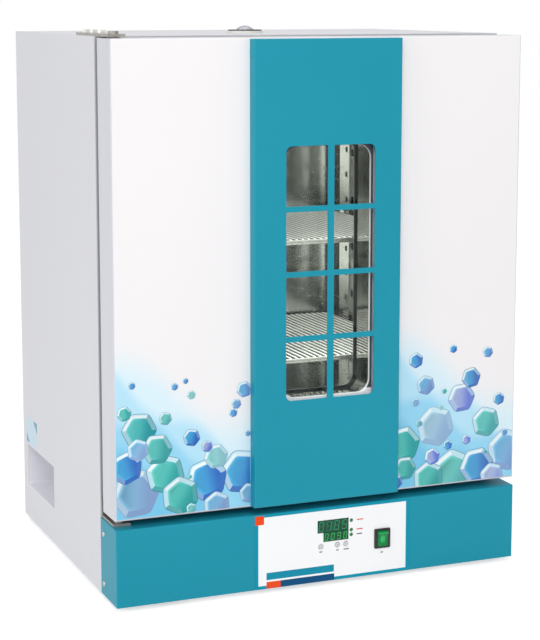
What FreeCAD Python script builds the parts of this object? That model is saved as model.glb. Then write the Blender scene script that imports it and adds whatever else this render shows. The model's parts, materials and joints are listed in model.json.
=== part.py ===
import FreeCAD, Part
import math
import os
import re
import Sketcher

# Forced air oven: an insulated cabinet with a full-face door, a windowed centre strip
# and a control base. Millimetres, +Z up, the door faces -Y, origin under the middle.

V = FreeCAD.Vector

DIMENSIONS = {
    # Outer form
    "cabinet_width": 644, "cabinet_depth": 443.5, "door_thickness": 59.3, "seal_gap": 14.4,
    "door_height": 681.4, "door_lift": 12.4, "top_gap": 2, "base_height": 114.2, "foot_height": 8,
    "rear_proud": 3, "cover_forward": 2.6, "sheet_gauge": 1.5, "liner_gauge": 1.2,
    "bend_radius": 2.5, "lip_width": 18,
    # Door strip and its window
    "strip_width": 232, "strip_proud": 17, "strip_gauge": 1.5, "strip_margin": 1.8,
    "window_width": 140.3, "window_height": 370.5, "window_shift": 3, "window_sill": 157,
    "window_corner": 18, "strip_corner": 9, "bar_upright_width": 10, "bar_cross_width": 8,
    "bar_rows": 4, "bezel_depth": 8, "bezel_base": 2, "bezel_rim": 16, "bezel_set_back": 1.2,
    "bezel_lip": 1.2, "bezel_corner": 20, "bezel_side": 0.4, "bezel_end": 4,
    "bezel_outer_corner": 6, "pane_thickness": 4, "pane_edge": 9, "seal_thickness": 2.4,
    "tunnel_step": 2.5,
    # Chamber
    "side_insulation": 79.3, "roof_insulation": 62.3, "rear_insulation": 59.8,
    "deck_height": 128, "floor_insulation": 59.3, "gasket_width": 16, "gasket_margin": 12,
    "gasket_round": 4, "contact_gap": 0.3,
    # Air path
    "plenum_height": 45, "duct_width": 22, "duct_head": 26, "duct_inset": 30, "port_size": 12,
    "port_pitch_z": 80, "port_pitch_y": 42, "port_columns": 5,
    "port_first_z": 44, "intake_hole_radius": 5, "intake_ring_radius": 44,
    "intake_ring_holes": 14, "front_slots": 12, "front_slot_length": 20, "front_slot_width": 4,
    "front_slot_pitch": 34, "front_slot_inset": 24,
    # Racks and shelves
    "upright_width": 22, "upright_depth": 12, "upright_gauge": 1.2, "upright_inset": 42,
    "rack_head": 48, "slot_size": 9, "slot_pitch": 42, "slot_first": 36,
    "runner_width": 12, "runner_gauge": 1.5, "runner_lip": 8, "shelf_low": 80, "shelf_step": 181,
    "shelf_bar_height": 9, "shelf_bar_width": 4, "shelf_wire_radius": 1.5, "shelf_wires": 27,
    "shelf_side_play": 2, "shelf_front_room": 12, "shelf_back_room": 14,
    # Fan and heater
    "wheel_radius": 84, "wheel_eye_radius": 46, "wheel_height": 26, "wheel_plate": 1.5,
    "wheel_lift": 8, "blade_count": 14, "blade_thickness": 1.4, "blade_arc_radius": 60,
    "blade_arc_offset": 50, "blade_rim_gap": 1.5,
    "hub_radius": 12, "shaft_radius": 5, "shaft_play": 0.05, "shaft_hole_radius": 9,
    "motor_radius": 43, "motor_length": 54, "motor_flange": 60, "motor_flange_gauge": 5,
    "motor_rib_depth": 2.5, "shaft_seat": 40,
    "heater_radius": 118, "heater_rod_radius": 4, "heater_lift": 14, "heater_gap_angle": 24,
    "heater_nut_radius": 8, "heater_nut_height": 4,
    "probe_radius": 2.5, "probe_reach": 30, "probe_tail": 40, "probe_height": 400,
    "probe_offset": 90, "probe_gland_radius": 8, "probe_gland_length": 10,
    # Roof vent
    "vent_from_left": 291, "vent_from_door": 236, "vent_tube_radius": 22.5, "vent_collar_radius": 28,
    "vent_collar_height": 3.2, "vent_disc_radius": 26, "vent_disc_height": 1.6,
    "vent_port_radius": 3.8, "vent_port_ring": 17.6, "vent_ports": 6, "vent_knob_radius": 13,
    "vent_knob_rim": 1.2, "vent_knob_rise": 5, "vent_spindle_radius": 3,
    # Hinges and catch
    "pivot_inset": 15, "pivot_depth": 30, "hinge_gauge": 4, "hinge_width": 26,
    "hinge_length": 96, "hinge_leg": 30, "hinge_pin_radius": 4,
    "hinge_pin_length": 14, "pin_head_radius": 7, "pin_head_height": 4, "bush_wall": 2.5,
    "bush_length": 18, "bush_flange": 1.4, "bolt_head_radius": 5.5, "bolt_head_height": 4.5,
    "bolt_shank_radius": 3, "bolt_first": 12, "bolt_pitch": 37, "bolts": 3,
    "magnet_width": 14, "magnet_height": 50, "magnet_inset": 14, "magnet_spread": 440,
    # Base front and its controls, measured from the label's left and bottom edges
    "label_from_left": 211.8, "label_width": 252.2, "label_height": 113.2, "label_gauge": 0.5,
    "label_rise": 0.4, "display_width": 50.3, "display_height": 18.8, "display_x": 100.2,
    "display_z": 74.6, "timer_width": 40.7, "timer_height": 13.5, "timer_x": 109.8,
    "timer_z": 60.5, "display_play": 0.3, "lamp_x": 155.2, "lamp_radius": 2.5, "lamp_proud": 1.5,
    "lamp_z_heat": 89, "lamp_z_timer": 74.3, "lamp_z_power": 66.9, "key_z": 53.8,
    "key_x_set": 105.4, "key_x_down": 132.4, "key_x_up": 146.1, "key_radius": 4,
    "key_proud": 0.9, "key_play": 0.35, "key_travel": 0.5, "key_stem_radius": 1.7,
    "key_switch_size": 6, "key_switch_height": 4.3, "bezel_x": 193.2, "bezel_z": 40.4,
    "bezel_width": 26.1, "bezel_height": 30.3, "bezel_proud": 2, "bezel_wall": 2.6,
    "bezel_body_depth": 24, "bezel_flange_step": 2, "bezel_hollow": 15, "rocker_play": 0.4,
    "rocker_end_play": 1.6, "rocker_rise": 3.2, "rocker_back": 8, "rocker_pivot_depth": 5,
    "rocker_tilt": 8, "rocker_pin_radius": 1.6,
    "board_width": 128, "board_height": 62, "board_gauge": 1.6, "board_set_back": 10,
    "board_x": 62, "board_z": 40, "stud_radius": 2.5, "stud_inset": 5,
    # Base inside
    "transformer_width": 66, "transformer_depth": 52, "transformer_height": 56,
    "transformer_x": 190, "transformer_back": 110, "coil_overhang": 10, "relay_width": 45,
    "relay_depth": 62, "relay_height": 24, "relay_x": 175, "relay_back": 90,
    "terminal_width": 84, "terminal_depth": 22, "terminal_height": 18, "terminal_ways": 6,
    "terminal_x": 150, "terminal_back": 260, "terminal_wall": 1.5,
    # Sides, rear and feet
    "grip_from_back": 27.8, "grip_length": 160.5, "grip_low": 58, "grip_height": 68,
    "grip_depth": 46, "grip_gauge": 1.5, "grip_flange": 8, "grip_corner": 4,
    "inlet_from_right": 90, "inlet_height": 60, "inlet_width": 32, "inlet_tall": 54,
    "inlet_body_width": 27, "inlet_body_tall": 46, "inlet_body_depth": 26, "inlet_gauge": 3,
    "louvre_length": 60, "louvre_width": 5, "louvre_pitch": 12, "louvre_rows": 5,
    "louvre_columns": 3, "louvre_pitch_x": 90, "louvre_low": 30,
    "screw_head_radius": 4, "screw_head_height": 1.8, "screw_shank_radius": 2,
    "side_screw_low": 18.3, "side_screw_high": 93.1, "side_screw_back": 15,
    "rear_screw_inset": 10, "rear_screw_low": 40, "rear_screw_pitch": 235, "rear_screws": 4,
    "foot_radius": 16, "foot_top_radius": 19, "foot_inset": 58,
    "floor_vent_length": 40, "floor_vent_width": 5, "floor_vent_pitch": 14, "floor_vents": 6,
}

# Places worked out from the driving dimensions; later ones may use earlier ones.
PLACES = {
    "right": "cabinet_width / 2", "left": "-cabinet_width / 2",
    "overall_depth": "strip_proud + door_thickness + seal_gap + cabinet_depth + rear_proud",
    "strip_front": "-overall_depth / 2", "door_front": "strip_front + strip_proud",
    "door_back": "door_front + door_thickness", "cabinet_front": "door_back + seal_gap",
    "cabinet_back": "cabinet_front + cabinet_depth", "cover_front": "door_front - cover_forward",
    "base_bottom": "foot_height", "base_top": "base_bottom + base_height",
    "door_bottom": "base_top + door_lift", "door_top": "door_bottom + door_height",
    "cabinet_top": "door_top + top_gap",
    "deck_bottom": "base_bottom + deck_height", "deck_top": "deck_bottom + sheet_gauge",
    "liner_bottom": "deck_top + floor_insulation", "chamber_floor": "liner_bottom + liner_gauge",
    "inside_right": "right - sheet_gauge", "inside_left": "left + sheet_gauge",
    "inside_front": "cabinet_front + sheet_gauge", "inside_back": "cabinet_back - sheet_gauge",
    "inside_top": "cabinet_top - sheet_gauge",
    "liner_top": "inside_top - roof_insulation", "chamber_top": "liner_top - liner_gauge",
    "liner_right": "inside_right - side_insulation", "chamber_right": "liner_right - liner_gauge",
    "liner_left": "-liner_right", "chamber_left": "-chamber_right",
    "liner_back": "inside_back - rear_insulation", "chamber_back": "liner_back - liner_gauge",
    "chamber_height": "chamber_top - chamber_floor",
    "chamber_depth": "chamber_back - cabinet_front",
    "duct_height": "chamber_height - plenum_height - duct_head",
    "port_rows": "floor((duct_height - port_first_z - port_size) / port_pitch_z) + 1",
    "rack_height": "chamber_height - plenum_height - rack_head",
    "slot_rows": "floor((rack_height - slot_first - slot_size) / slot_pitch) + 1",
    "false_floor_top": "chamber_floor + plenum_height",
    "duct_right": "chamber_right - duct_width", "duct_left": "-duct_right",
    "fan_y": "cabinet_front + chamber_depth / 2",
    "rack_right": "duct_right - upright_depth",
    "shelf_half": "rack_right - shelf_side_play",
    "shelf_front": "cabinet_front + shelf_front_room",
    "shelf_back": "chamber_back - shelf_back_room",
    "strip_bottom": "door_bottom + strip_margin", "strip_top": "door_top - strip_margin",
    "window_left": "window_shift - window_width / 2",
    "window_right": "window_shift + window_width / 2",
    "window_bottom": "door_bottom + window_sill", "window_top": "window_bottom + window_height",
    "label_left": "left + label_from_left", "label_bottom": "base_bottom + label_rise",
    "label_front": "cover_front - label_gauge", "cover_inside": "cover_front + sheet_gauge",
    "board_front": "cover_inside + board_set_back",
    "vent_x": "left + vent_from_left", "vent_y": "door_front + vent_from_door",
    "pivot_x": "left + pivot_inset", "pivot_y": "door_front + pivot_depth",
}

doc = FreeCAD.newDocument("oven")
sheet = doc.addObject("Spreadsheet::Sheet", "dims")
for row, (alias, number) in enumerate(DIMENSIONS.items(), start=1):
    sheet.set(f"A{row}", alias)
    sheet.set(f"B{row}", str(number))
    sheet.setAlias(f"B{row}", alias)
doc.recompute()

WORD = re.compile(r"[a-z]\w*")


def expand(text):
    """Writes an expression with the sheet's own aliases only."""
    def swap(match):
        word = match.group(0)
        if word in PLACES:
            return "(" + expand(PLACES[word]) + ")"
        if word in DIMENSIONS:
            return "dims." + word
        return word
    return WORD.sub(swap, str(text))


def value(text):
    return float(sheet.evalExpression(expand(text)))


def bind(item, prop, text):
    item.setExpression(prop, expand(text))


def move(item, x="0", y="0", z="0"):
    for letter, text in zip("xyz", (x, y, z)):
        bind(item, f".Placement.Base.{letter}", text)
    return item


# Part primitives bound to the sheet


def box(label, x, y, z):
    """A block between two places on each axis."""
    item = doc.addObject("Part::Box", label)
    for prop, (low, high) in zip(("Length", "Width", "Height"), (x, y, z)):
        bind(item, prop, f"({high}) - ({low})")
    return move(item, x[0], y[0], z[0])


AXIS_TURNS = {
    "z": FreeCAD.Rotation(), "x": FreeCAD.Rotation(V(0, 1, 0), 90),
    "y": FreeCAD.Rotation(V(1, 0, 0), -90),
}


def rod(label, radius, length, x="0", y="0", z="0", along="z"):
    item = doc.addObject("Part::Cylinder", label)
    bind(item, "Radius", radius)
    bind(item, "Height", length)
    item.Placement = FreeCAD.Placement(V(), AXIS_TURNS[along])
    return move(item, x, y, z)


def fuse(label, parts):
    item = doc.addObject("Part::MultiFuse", label)
    item.Shapes = parts
    return item


def group(label, parts):
    """Identical fasteners, kept as separate solids under one name."""
    item = doc.addObject("Part::Compound", label)
    item.Links = parts
    return item


def cut(label, base, tools):
    item = doc.addObject("Part::Cut", label)
    item.Base = base
    item.Tool = tools[0] if len(tools) == 1 else fuse(label + "_cutters", tools)
    return item


# PartDesign bodies whose sketches are bound to the sheet


def body(label, x="0", y="0", z="0"):
    item = doc.addObject("PartDesign::Body", label)
    return move(item, x, y, z)


def sketch(owner, role, lift="0"):
    """A sketch on one of the body's own planes, lifted along the plane's normal."""
    item = owner.newObject("Sketcher::SketchObject", owner.Label + "_sketch")
    plane = next(f for f in owner.Origin.OriginFeatures if f.Role == role + "_Plane")
    item.AttachmentSupport = [(plane, "")]
    item.MapMode = "FlatFace"
    if lift != "0":
        bind(item, ".AttachmentOffset.Base.z", lift)
    return item


def hold(item, kind, *where, text):
    """One dimension of a sketch, bound to an expression."""
    index = item.addConstraint(Sketcher.Constraint(kind, *where, value(text)))
    item.setExpression(f"Constraints[{index}]", expand(text))


def polygon(item, points):
    first = item.GeometryCount
    corners = [V(value(x), value(y), 0) for x, y in points]
    count = len(corners)
    for index, corner in enumerate(corners):
        item.addGeometry(Part.LineSegment(corner, corners[(index + 1) % count]), False)
    for index, (x, y) in enumerate(points):
        following = first + (index + 1) % count
        item.addConstraint(Sketcher.Constraint("Coincident", first + index, 2, following, 1))
        hold(item, "DistanceX", -1, 1, first + index, 1, text=x)
        hold(item, "DistanceY", -1, 1, first + index, 1, text=y)
    return item


def rectangle(item, x, y):
    return polygon(item, [(x[0], y[0]), (x[1], y[0]), (x[1], y[1]), (x[0], y[1])])


def round_rectangle(item, x, y, radius):
    """Four lines and four tangent arcs; x and y are (low, high) expressions."""
    first = item.GeometryCount
    (a, c), (b, d), q = map(value, x), map(value, y), value(radius)
    lines = [((a + q, b), (c - q, b)), ((c, b + q), (c, d - q)),
             ((c - q, d), (a + q, d)), ((a, d - q), (a, b + q))]
    arcs = [(c - q, b + q, -90), (c - q, d - q, 0), (a + q, d - q, 90), (a + q, b + q, 180)]
    for (start, end), (cx, cy, turn) in zip(lines, arcs):
        item.addGeometry(Part.LineSegment(V(*start, 0), V(*end, 0)), False)
        circle_edge = Part.Circle(V(cx, cy, 0), V(0, 0, 1), q)
        sweep = math.radians(turn), math.radians(turn + 90)
        item.addGeometry(Part.ArcOfCircle(circle_edge, *sweep), False)
    for line in range(0, 8, 2):
        arc, following = first + line + 1, first + (line + 2) % 8
        item.addConstraint(Sketcher.Constraint("Tangent", first + line, 2, arc, 1))
        item.addConstraint(Sketcher.Constraint("Tangent", arc, 2, following, 1))
        item.addConstraint(Sketcher.Constraint("Vertical" if line in (2, 6) else "Horizontal",
                                               first + line))
        if line:
            item.addConstraint(Sketcher.Constraint("Equal", first + 1, arc))
    hold(item, "Radius", first + 1, text=radius)
    hold(item, "DistanceX", -1, 1, first + 6, 1, text=x[0])
    hold(item, "DistanceY", -1, 1, first, 1, text=y[0])
    hold(item, "DistanceX", -1, 1, first + 2, 1, text=x[1])
    hold(item, "DistanceY", -1, 1, first + 4, 1, text=y[1])
    return item


def circle(item, x, y, radius):
    centre = V(value(x), value(y), 0)
    index = item.addGeometry(Part.Circle(centre, V(0, 0, 1), value(radius)), False)
    hold(item, "DistanceX", -1, 1, index, 3, text=x)
    hold(item, "DistanceY", -1, 1, index, 3, text=y)
    hold(item, "Radius", index, text=radius)
    return item


def feature(owner, kind, profile, length=None, reverse=False, both=False):
    """A pad or pocket; a change of volume the wrong way stops the build."""
    before = owner.Shape.Volume if owner.Shape.Solids else 0.0
    item = owner.newObject("PartDesign::" + kind, f"{owner.Label}_{kind.lower()}")
    item.Profile = profile
    item.Reversed = reverse
    item.Midplane = both
    if length is None:
        item.Type = "ThroughAll"
    else:
        bind(item, "Length", length)
    doc.recompute()
    grown = owner.Shape.Volume - before
    if grown * (1 if kind == "Pad" else -1) <= 0:
        raise RuntimeError(f"{item.Label} changes nothing")
    return item


def pad(owner, profile, length, reverse=False, both=False):
    return feature(owner, "Pad", profile, length, reverse, both)


def pocket(owner, profile, length=None, reverse=False, both=True):
    return feature(owner, "Pocket", profile, length, reverse, both)


def revolve(owner, points, kind="Revolution"):
    """A turned form from half-profile points (radius, height) about the body's Z."""
    profile = polygon(sketch(owner, "XZ"), points)
    item = owner.newObject("PartDesign::" + kind, f"{owner.Label}_{kind.lower()}")
    item.Profile = profile
    item.ReferenceAxis = (profile, ["V_Axis"])
    item.Angle = 360
    doc.recompute()
    return item


def row_of(owner, origin, axis, pitch, count):
    """Repeats a feature along one axis of its sketch."""
    item = owner.newObject("PartDesign::LinearPattern", owner.Label + "_row")
    item.Originals = [origin]
    item.Direction = (origin.Profile[0], [axis])
    bind(item, "Length", f"({pitch}) * (({count}) - 1)")
    bind(item, "Occurrences", count)
    owner.Tip = item
    doc.recompute()
    return item


def ring_of(owner, origin, count):
    """Repeats a feature about the body's Z."""
    item = owner.newObject("PartDesign::PolarPattern", owner.Label + "_ring")
    item.Originals = [origin]
    item.Axis = (origin.Profile[0], ["N_Axis"])
    item.Angle = 360
    bind(item, "Occurrences", count)
    owner.Tip = item
    doc.recompute()
    return item


def grid_of(owner, origin, first, second):
    """Repeats a feature in two directions: (axis, pitch, count) each."""
    item = owner.newObject("PartDesign::MultiTransform", owner.Label + "_grid")
    item.Originals = [origin]
    steps = []
    for axis, pitch, count in (first, second):
        step = owner.newObject("PartDesign::LinearPattern", owner.Label + "_step")
        step.Direction = (origin.Profile[0], [axis])
        bind(step, "Length", f"({pitch}) * (({count}) - 1)")
        bind(step, "Occurrences", count)
        steps.append(step)
    item.Transformations = steps
    owner.Tip = item
    doc.recompute()
    return item


def edges_where(owner, test):
    """Names of the edges of the body's last feature whose ends pass the test."""
    shape = owner.Tip.Shape
    return [f"Edge{index}" for index, edge in enumerate(shape.Edges, start=1)
            if all(test(vertex.Point) for vertex in edge.Vertexes) and len(edge.Vertexes) == 2]


def fillet(owner, names, radius):
    rounded = owner.Tip
    item = owner.newObject("PartDesign::Fillet", owner.Label + "_fillet")
    item.Base = (rounded, names)
    bind(item, "Radius", radius)
    owner.Tip = item
    doc.recompute()
    return item


def near(a, text):
    return abs(a - value(text)) < 0.01


def mirror_copy(label, source):
    """The same sheet made to the other hand."""
    item = doc.addObject("Part::Mirroring", label)
    item.Source = source
    item.Normal = V(1, 0, 0)
    return item


NODES = []


def keep(item):
    NODES.append(item)
    return item


# Cabinet shell


def side_panel():
    """A sheet with in-turned lips at the rear and a window for the hand grip."""
    panel = body("side_panel_left", "left", "cabinet_front", "base_bottom")
    plan = polygon(sketch(panel, "XY"), [
        ("0", "0"), ("sheet_gauge", "0"),
        ("sheet_gauge", "cabinet_depth - 2 * sheet_gauge"),
        ("lip_width", "cabinet_depth - 2 * sheet_gauge"),
        ("lip_width", "cabinet_depth - sheet_gauge"), ("0", "cabinet_depth - sheet_gauge")])
    pad(panel, plan, "inside_top - base_bottom")
    opening = round_rectangle(
        sketch(panel, "YZ"),
        ("cabinet_depth - grip_from_back - grip_length", "cabinet_depth - grip_from_back"),
        ("grip_low", "grip_low + grip_height"), "grip_corner")
    pocket(panel, opening, "sheet_gauge", reverse=True, both=False)
    hole = circle(sketch(panel, "XZ", "-(cabinet_depth - 2 * sheet_gauge)"),
                  "rear_screw_inset", "rear_screw_low", "screw_shank_radius")
    first = pocket(panel, hole, "sheet_gauge", both=False)
    row_of(panel, first, "V_Axis", "rear_screw_pitch", "rear_screws")
    return panel


def hand_grip():
    """A flanged tray let into the side panel from inside."""
    tray = body("hand_grip_left", "inside_left", "cabinet_back - grip_from_back - grip_length",
                "base_bottom + grip_low")
    flange = round_rectangle(sketch(tray, "YZ"), ("-grip_flange", "grip_length + grip_flange"),
                             ("-grip_flange", "min(grip_height + grip_flange, "
                              "deck_bottom - base_bottom - grip_low)"), "grip_corner")
    pad(tray, flange, "grip_gauge")
    tub = round_rectangle(sketch(tray, "YZ"), ("-grip_gauge", "grip_length + grip_gauge"),
                          ("-grip_gauge", "grip_height + grip_gauge"), "grip_corner + grip_gauge")
    pad(tray, tub, "grip_depth")
    hollow = round_rectangle(sketch(tray, "YZ"), ("0", "grip_length"), ("0", "grip_height"),
                             "grip_corner")
    pocket(tray, hollow, "grip_depth - grip_gauge", reverse=True, both=False)
    return tray


def top_panel():
    panel = body("top_panel", "0", "cabinet_front", "inside_top")
    outline = rectangle(sketch(panel, "XY"), ("left", "right"), ("0", "cabinet_depth"))
    circle(outline, "vent_x", "vent_y - cabinet_front", "vent_tube_radius + liner_gauge")
    pad(panel, outline, "sheet_gauge")
    lip = rectangle(sketch(panel, "XY"), ("left", "right"),
                    ("cabinet_depth - sheet_gauge", "cabinet_depth"))
    pad(panel, lip, "lip_width", reverse=True)
    return panel


def front_frame():
    """The cabinet's front plane around the chamber mouth."""
    plate = body("front_frame", "0", "inside_front", "base_top - sheet_gauge")
    outline = rectangle(sketch(plate, "XZ"), ("inside_left", "inside_right"),
                        ("0", "inside_top - base_top + sheet_gauge"))
    rectangle(outline, ("liner_left", "liner_right"),
              ("liner_bottom - base_top + sheet_gauge", "liner_top - base_top + sheet_gauge"))
    pad(plate, outline, "sheet_gauge")
    return plate


def rear_panel():
    """The lift-off back sheet with base louvres and the inlet's cut-out."""
    plate = body("rear_panel", "0", "cabinet_back", "base_bottom")
    outline = rectangle(sketch(plate, "XZ"), ("left", "right"),
                        ("0", "inside_top - lip_width - base_bottom"))
    rectangle(outline, ("right - inlet_from_right - inlet_body_width / 2",
                        "right - inlet_from_right + inlet_body_width / 2"),
              ("inlet_height - inlet_body_tall / 2", "inlet_height + inlet_body_tall / 2"))
    pad(plate, outline, "sheet_gauge")
    holes = circle(sketch(plate, "XZ"), "left + rear_screw_inset", "rear_screw_low",
                   "screw_shank_radius")
    circle(holes, "right - rear_screw_inset", "rear_screw_low", "screw_shank_radius")
    row_of(plate, pocket(plate, holes), "V_Axis", "rear_screw_pitch", "rear_screws")
    louvre = round_rectangle(sketch(plate, "XZ"),
                             ("-louvre_pitch_x - louvre_length / 2",
                              "-louvre_pitch_x + louvre_length / 2"),
                             ("louvre_low", "louvre_low + louvre_width"), "louvre_width * 0.45")
    first = pocket(plate, louvre)
    grid_of(plate, first, ("H_Axis", "louvre_pitch_x", "louvre_columns"),
            ("V_Axis", "louvre_pitch", "louvre_rows"))
    return plate


def bottom_plate():
    """The base floor with two banks of air slots."""
    plate = body("bottom_plate", "0", "cover_inside", "base_bottom")
    outline = rectangle(sketch(plate, "XY"), ("inside_left", "inside_right"),
                        ("0", "inside_back - sheet_gauge - cover_inside"))
    pad(plate, outline, "sheet_gauge")
    slot = round_rectangle(sketch(plate, "XY"),
                           ("-floor_vent_length / 2", "floor_vent_length / 2"),
                           ("foot_inset * 3", "foot_inset * 3 + floor_vent_width"),
                           "floor_vent_width * 0.45")
    first = pocket(plate, slot)
    row_of(plate, first, "V_Axis", "floor_vent_pitch", "floor_vents")
    return plate


def deck_plate():
    """The shelf between the base and the insulated chamber; it carries the motor."""
    plate = body("deck_plate", "0", "inside_front", "deck_bottom")
    outline = rectangle(sketch(plate, "XY"), ("inside_left", "inside_right"),
                        ("0", "inside_back - sheet_gauge - inside_front"))
    circle(outline, "0", "fan_y - inside_front", "shaft_hole_radius")
    pad(plate, outline, "sheet_gauge")
    return plate


def insulation_jacket():
    """Mineral wool filling the space between the shell and the liner."""
    wool = body("insulation_jacket", "0", "inside_front", "deck_top")
    outline = rectangle(sketch(wool, "XZ"), ("inside_left", "inside_right"),
                        ("0", "inside_top - deck_top"))
    pad(wool, outline, "inside_back - sheet_gauge - inside_front", reverse=True)
    cavity = rectangle(sketch(wool, "XZ"), ("liner_left", "liner_right"),
                       ("liner_bottom - deck_top", "liner_top - deck_top"))
    pocket(wool, cavity, "liner_back - inside_front", both=False)
    bores = circle(sketch(wool, "XY"), "0", "fan_y - inside_front", "shaft_hole_radius")
    pocket(wool, bores, "floor_insulation", reverse=True, both=False)
    chimney = circle(sketch(wool, "XY", "liner_top - deck_top"), "vent_x",
                     "vent_y - inside_front", "vent_tube_radius + liner_gauge")
    pocket(wool, chimney, "inside_top - liner_top", reverse=True, both=False)
    lead = circle(sketch(wool, "XZ", "-(liner_back - inside_front)"), "probe_offset",
                  "chamber_floor + probe_height - deck_top", "probe_radius + contact_gap")
    pocket(wool, lead, "probe_tail - liner_gauge", both=False)
    return wool


def chamber_liner():
    """The stainless box, open to the front."""
    liner = body("chamber_liner", "0", "cabinet_front", "0")
    outline = rectangle(sketch(liner, "XZ"), ("liner_left", "liner_right"),
                        ("liner_bottom", "liner_top"))
    pad(liner, outline, "liner_back - cabinet_front", reverse=True)
    hollow = rectangle(sketch(liner, "XZ"), ("chamber_left", "chamber_right"),
                       ("chamber_floor", "chamber_top"))
    pocket(liner, hollow, "chamber_depth", both=False)
    shaft = circle(sketch(liner, "XY", "liner_bottom"), "0", "fan_y - cabinet_front",
                   "shaft_hole_radius")
    pocket(liner, shaft, "liner_gauge", reverse=True, both=False)
    flue = circle(sketch(liner, "XY", "chamber_top"), "vent_x", "vent_y - cabinet_front",
                  "vent_tube_radius")
    pocket(liner, flue, "liner_gauge", reverse=True, both=False)
    lead = circle(sketch(liner, "XZ", "-chamber_depth"), "probe_offset",
                  "chamber_floor + probe_height", "probe_radius + contact_gap")
    pocket(liner, lead, "liner_gauge", both=False)
    return liner


# Air path


def floor_plate():
    """The perforated false floor, standing on its front and rear flanges."""
    plate = body("floor_plate", "0", "cabinet_front + duct_inset / 3", "chamber_floor")
    depth = "chamber_depth - duct_inset * 2 / 3"
    profile = polygon(sketch(plate, "YZ"), [
        ("0", "0"), ("liner_gauge", "0"), ("liner_gauge", "plenum_height - liner_gauge"),
        (f"{depth} - liner_gauge", "plenum_height - liner_gauge"),
        (f"{depth} - liner_gauge", "0"), (depth, "0"), (depth, "plenum_height"),
        ("0", "plenum_height")])
    pad(plate, profile, "2 * duct_right + 2 * liner_gauge", both=True)
    centre = "chamber_depth / 2 - duct_inset / 3"
    hole = circle(sketch(plate, "XY", "plenum_height - liner_gauge"), "intake_ring_radius",
                  "0", "intake_hole_radius")
    bind(hole, ".AttachmentOffset.Base.y", centre)
    first = pocket(plate, hole, "liner_gauge", reverse=True, both=False)
    ring_of(plate, first, "intake_ring_holes")
    slot = round_rectangle(sketch(plate, "XY", "plenum_height - liner_gauge"),
                           ("-front_slot_pitch * (front_slots - 1) / 2 - front_slot_width / 2",
                            "-front_slot_pitch * (front_slots - 1) / 2 + front_slot_width / 2"),
                           ("front_slot_inset", "front_slot_inset + front_slot_length"),
                           "front_slot_width * 0.45")
    second = pocket(plate, slot, "liner_gauge", reverse=True, both=False)
    row_of(plate, second, "H_Axis", "front_slot_pitch", "front_slots")
    return plate


def duct_panel():
    """A stand-off sheet with square air ports, closed to the liner wall at both ends."""
    depth = "chamber_depth - 2 * duct_inset"
    panel = body("duct_panel_left", "chamber_left", "cabinet_front + duct_inset",
                 "false_floor_top")
    plan = polygon(sketch(panel, "XY"), [
        ("0", "0"), ("duct_width", "0"), ("duct_width", depth), ("0", depth),
        ("0", f"{depth} - liner_gauge"), ("duct_width - liner_gauge", f"{depth} - liner_gauge"),
        ("duct_width - liner_gauge", "liner_gauge"), ("0", "liner_gauge")])
    pad(panel, plan, "duct_height")
    port = rectangle(sketch(panel, "YZ", "duct_width - liner_gauge"),
                     (f"({depth} - port_pitch_y * (port_columns - 1) - port_size) / 2",
                      f"({depth} - port_pitch_y * (port_columns - 1) + port_size) / 2"),
                     ("port_first_z", "port_first_z + port_size"))
    first = pocket(panel, port, "liner_gauge", reverse=True, both=False)
    grid_of(panel, first, ("H_Axis", "port_pitch_y", "port_columns"),
            ("V_Axis", "port_pitch_z", "port_rows"))
    return panel


def shelf_rack():
    """Two slotted uprights joined by an angle runner under each shelf."""
    depth = "chamber_depth - 2 * duct_inset"
    rack = body("shelf_rack_left", "duct_left", "cabinet_front + duct_inset", "false_floor_top")
    plan = sketch(rack, "XY")
    for start in ("upright_inset", f"{depth} - upright_inset - upright_width"):
        end = f"{start} + upright_width"
        polygon(plan, [
            ("0", start), ("upright_depth", start), ("upright_depth", end), ("0", end),
            ("0", f"{end} - upright_gauge"),
            ("upright_depth - upright_gauge", f"{end} - upright_gauge"),
            ("upright_depth - upright_gauge", f"{start} + upright_gauge"),
            ("0", f"{start} + upright_gauge")])
    pad(rack, plan, "rack_height")
    slot = sketch(rack, "YZ", "upright_depth - upright_gauge")
    for centre in ("upright_inset + upright_width / 2",
                   f"{depth} - upright_inset - upright_width / 2"):
        rectangle(slot, (f"{centre} - slot_size / 2", f"{centre} + slot_size / 2"),
                  ("slot_first", "slot_first + slot_size"))
    first = pocket(rack, slot, "upright_gauge", reverse=True, both=False)
    row_of(rack, first, "V_Axis", "slot_pitch", "slot_rows")
    for level in ("shelf_low", "shelf_low + shelf_step"):
        runner = polygon(sketch(rack, "XZ", "-upright_inset / 2"), [
            ("upright_depth", f"{level} - runner_lip"),
            ("upright_depth + runner_gauge", f"{level} - runner_lip"),
            ("upright_depth + runner_gauge", f"{level} - runner_gauge"),
            ("upright_depth + runner_width", f"{level} - runner_gauge"),
            ("upright_depth + runner_width", level), ("upright_depth", level)])
        pad(rack, runner, f"{depth} - upright_inset", reverse=True)
    return rack


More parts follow.
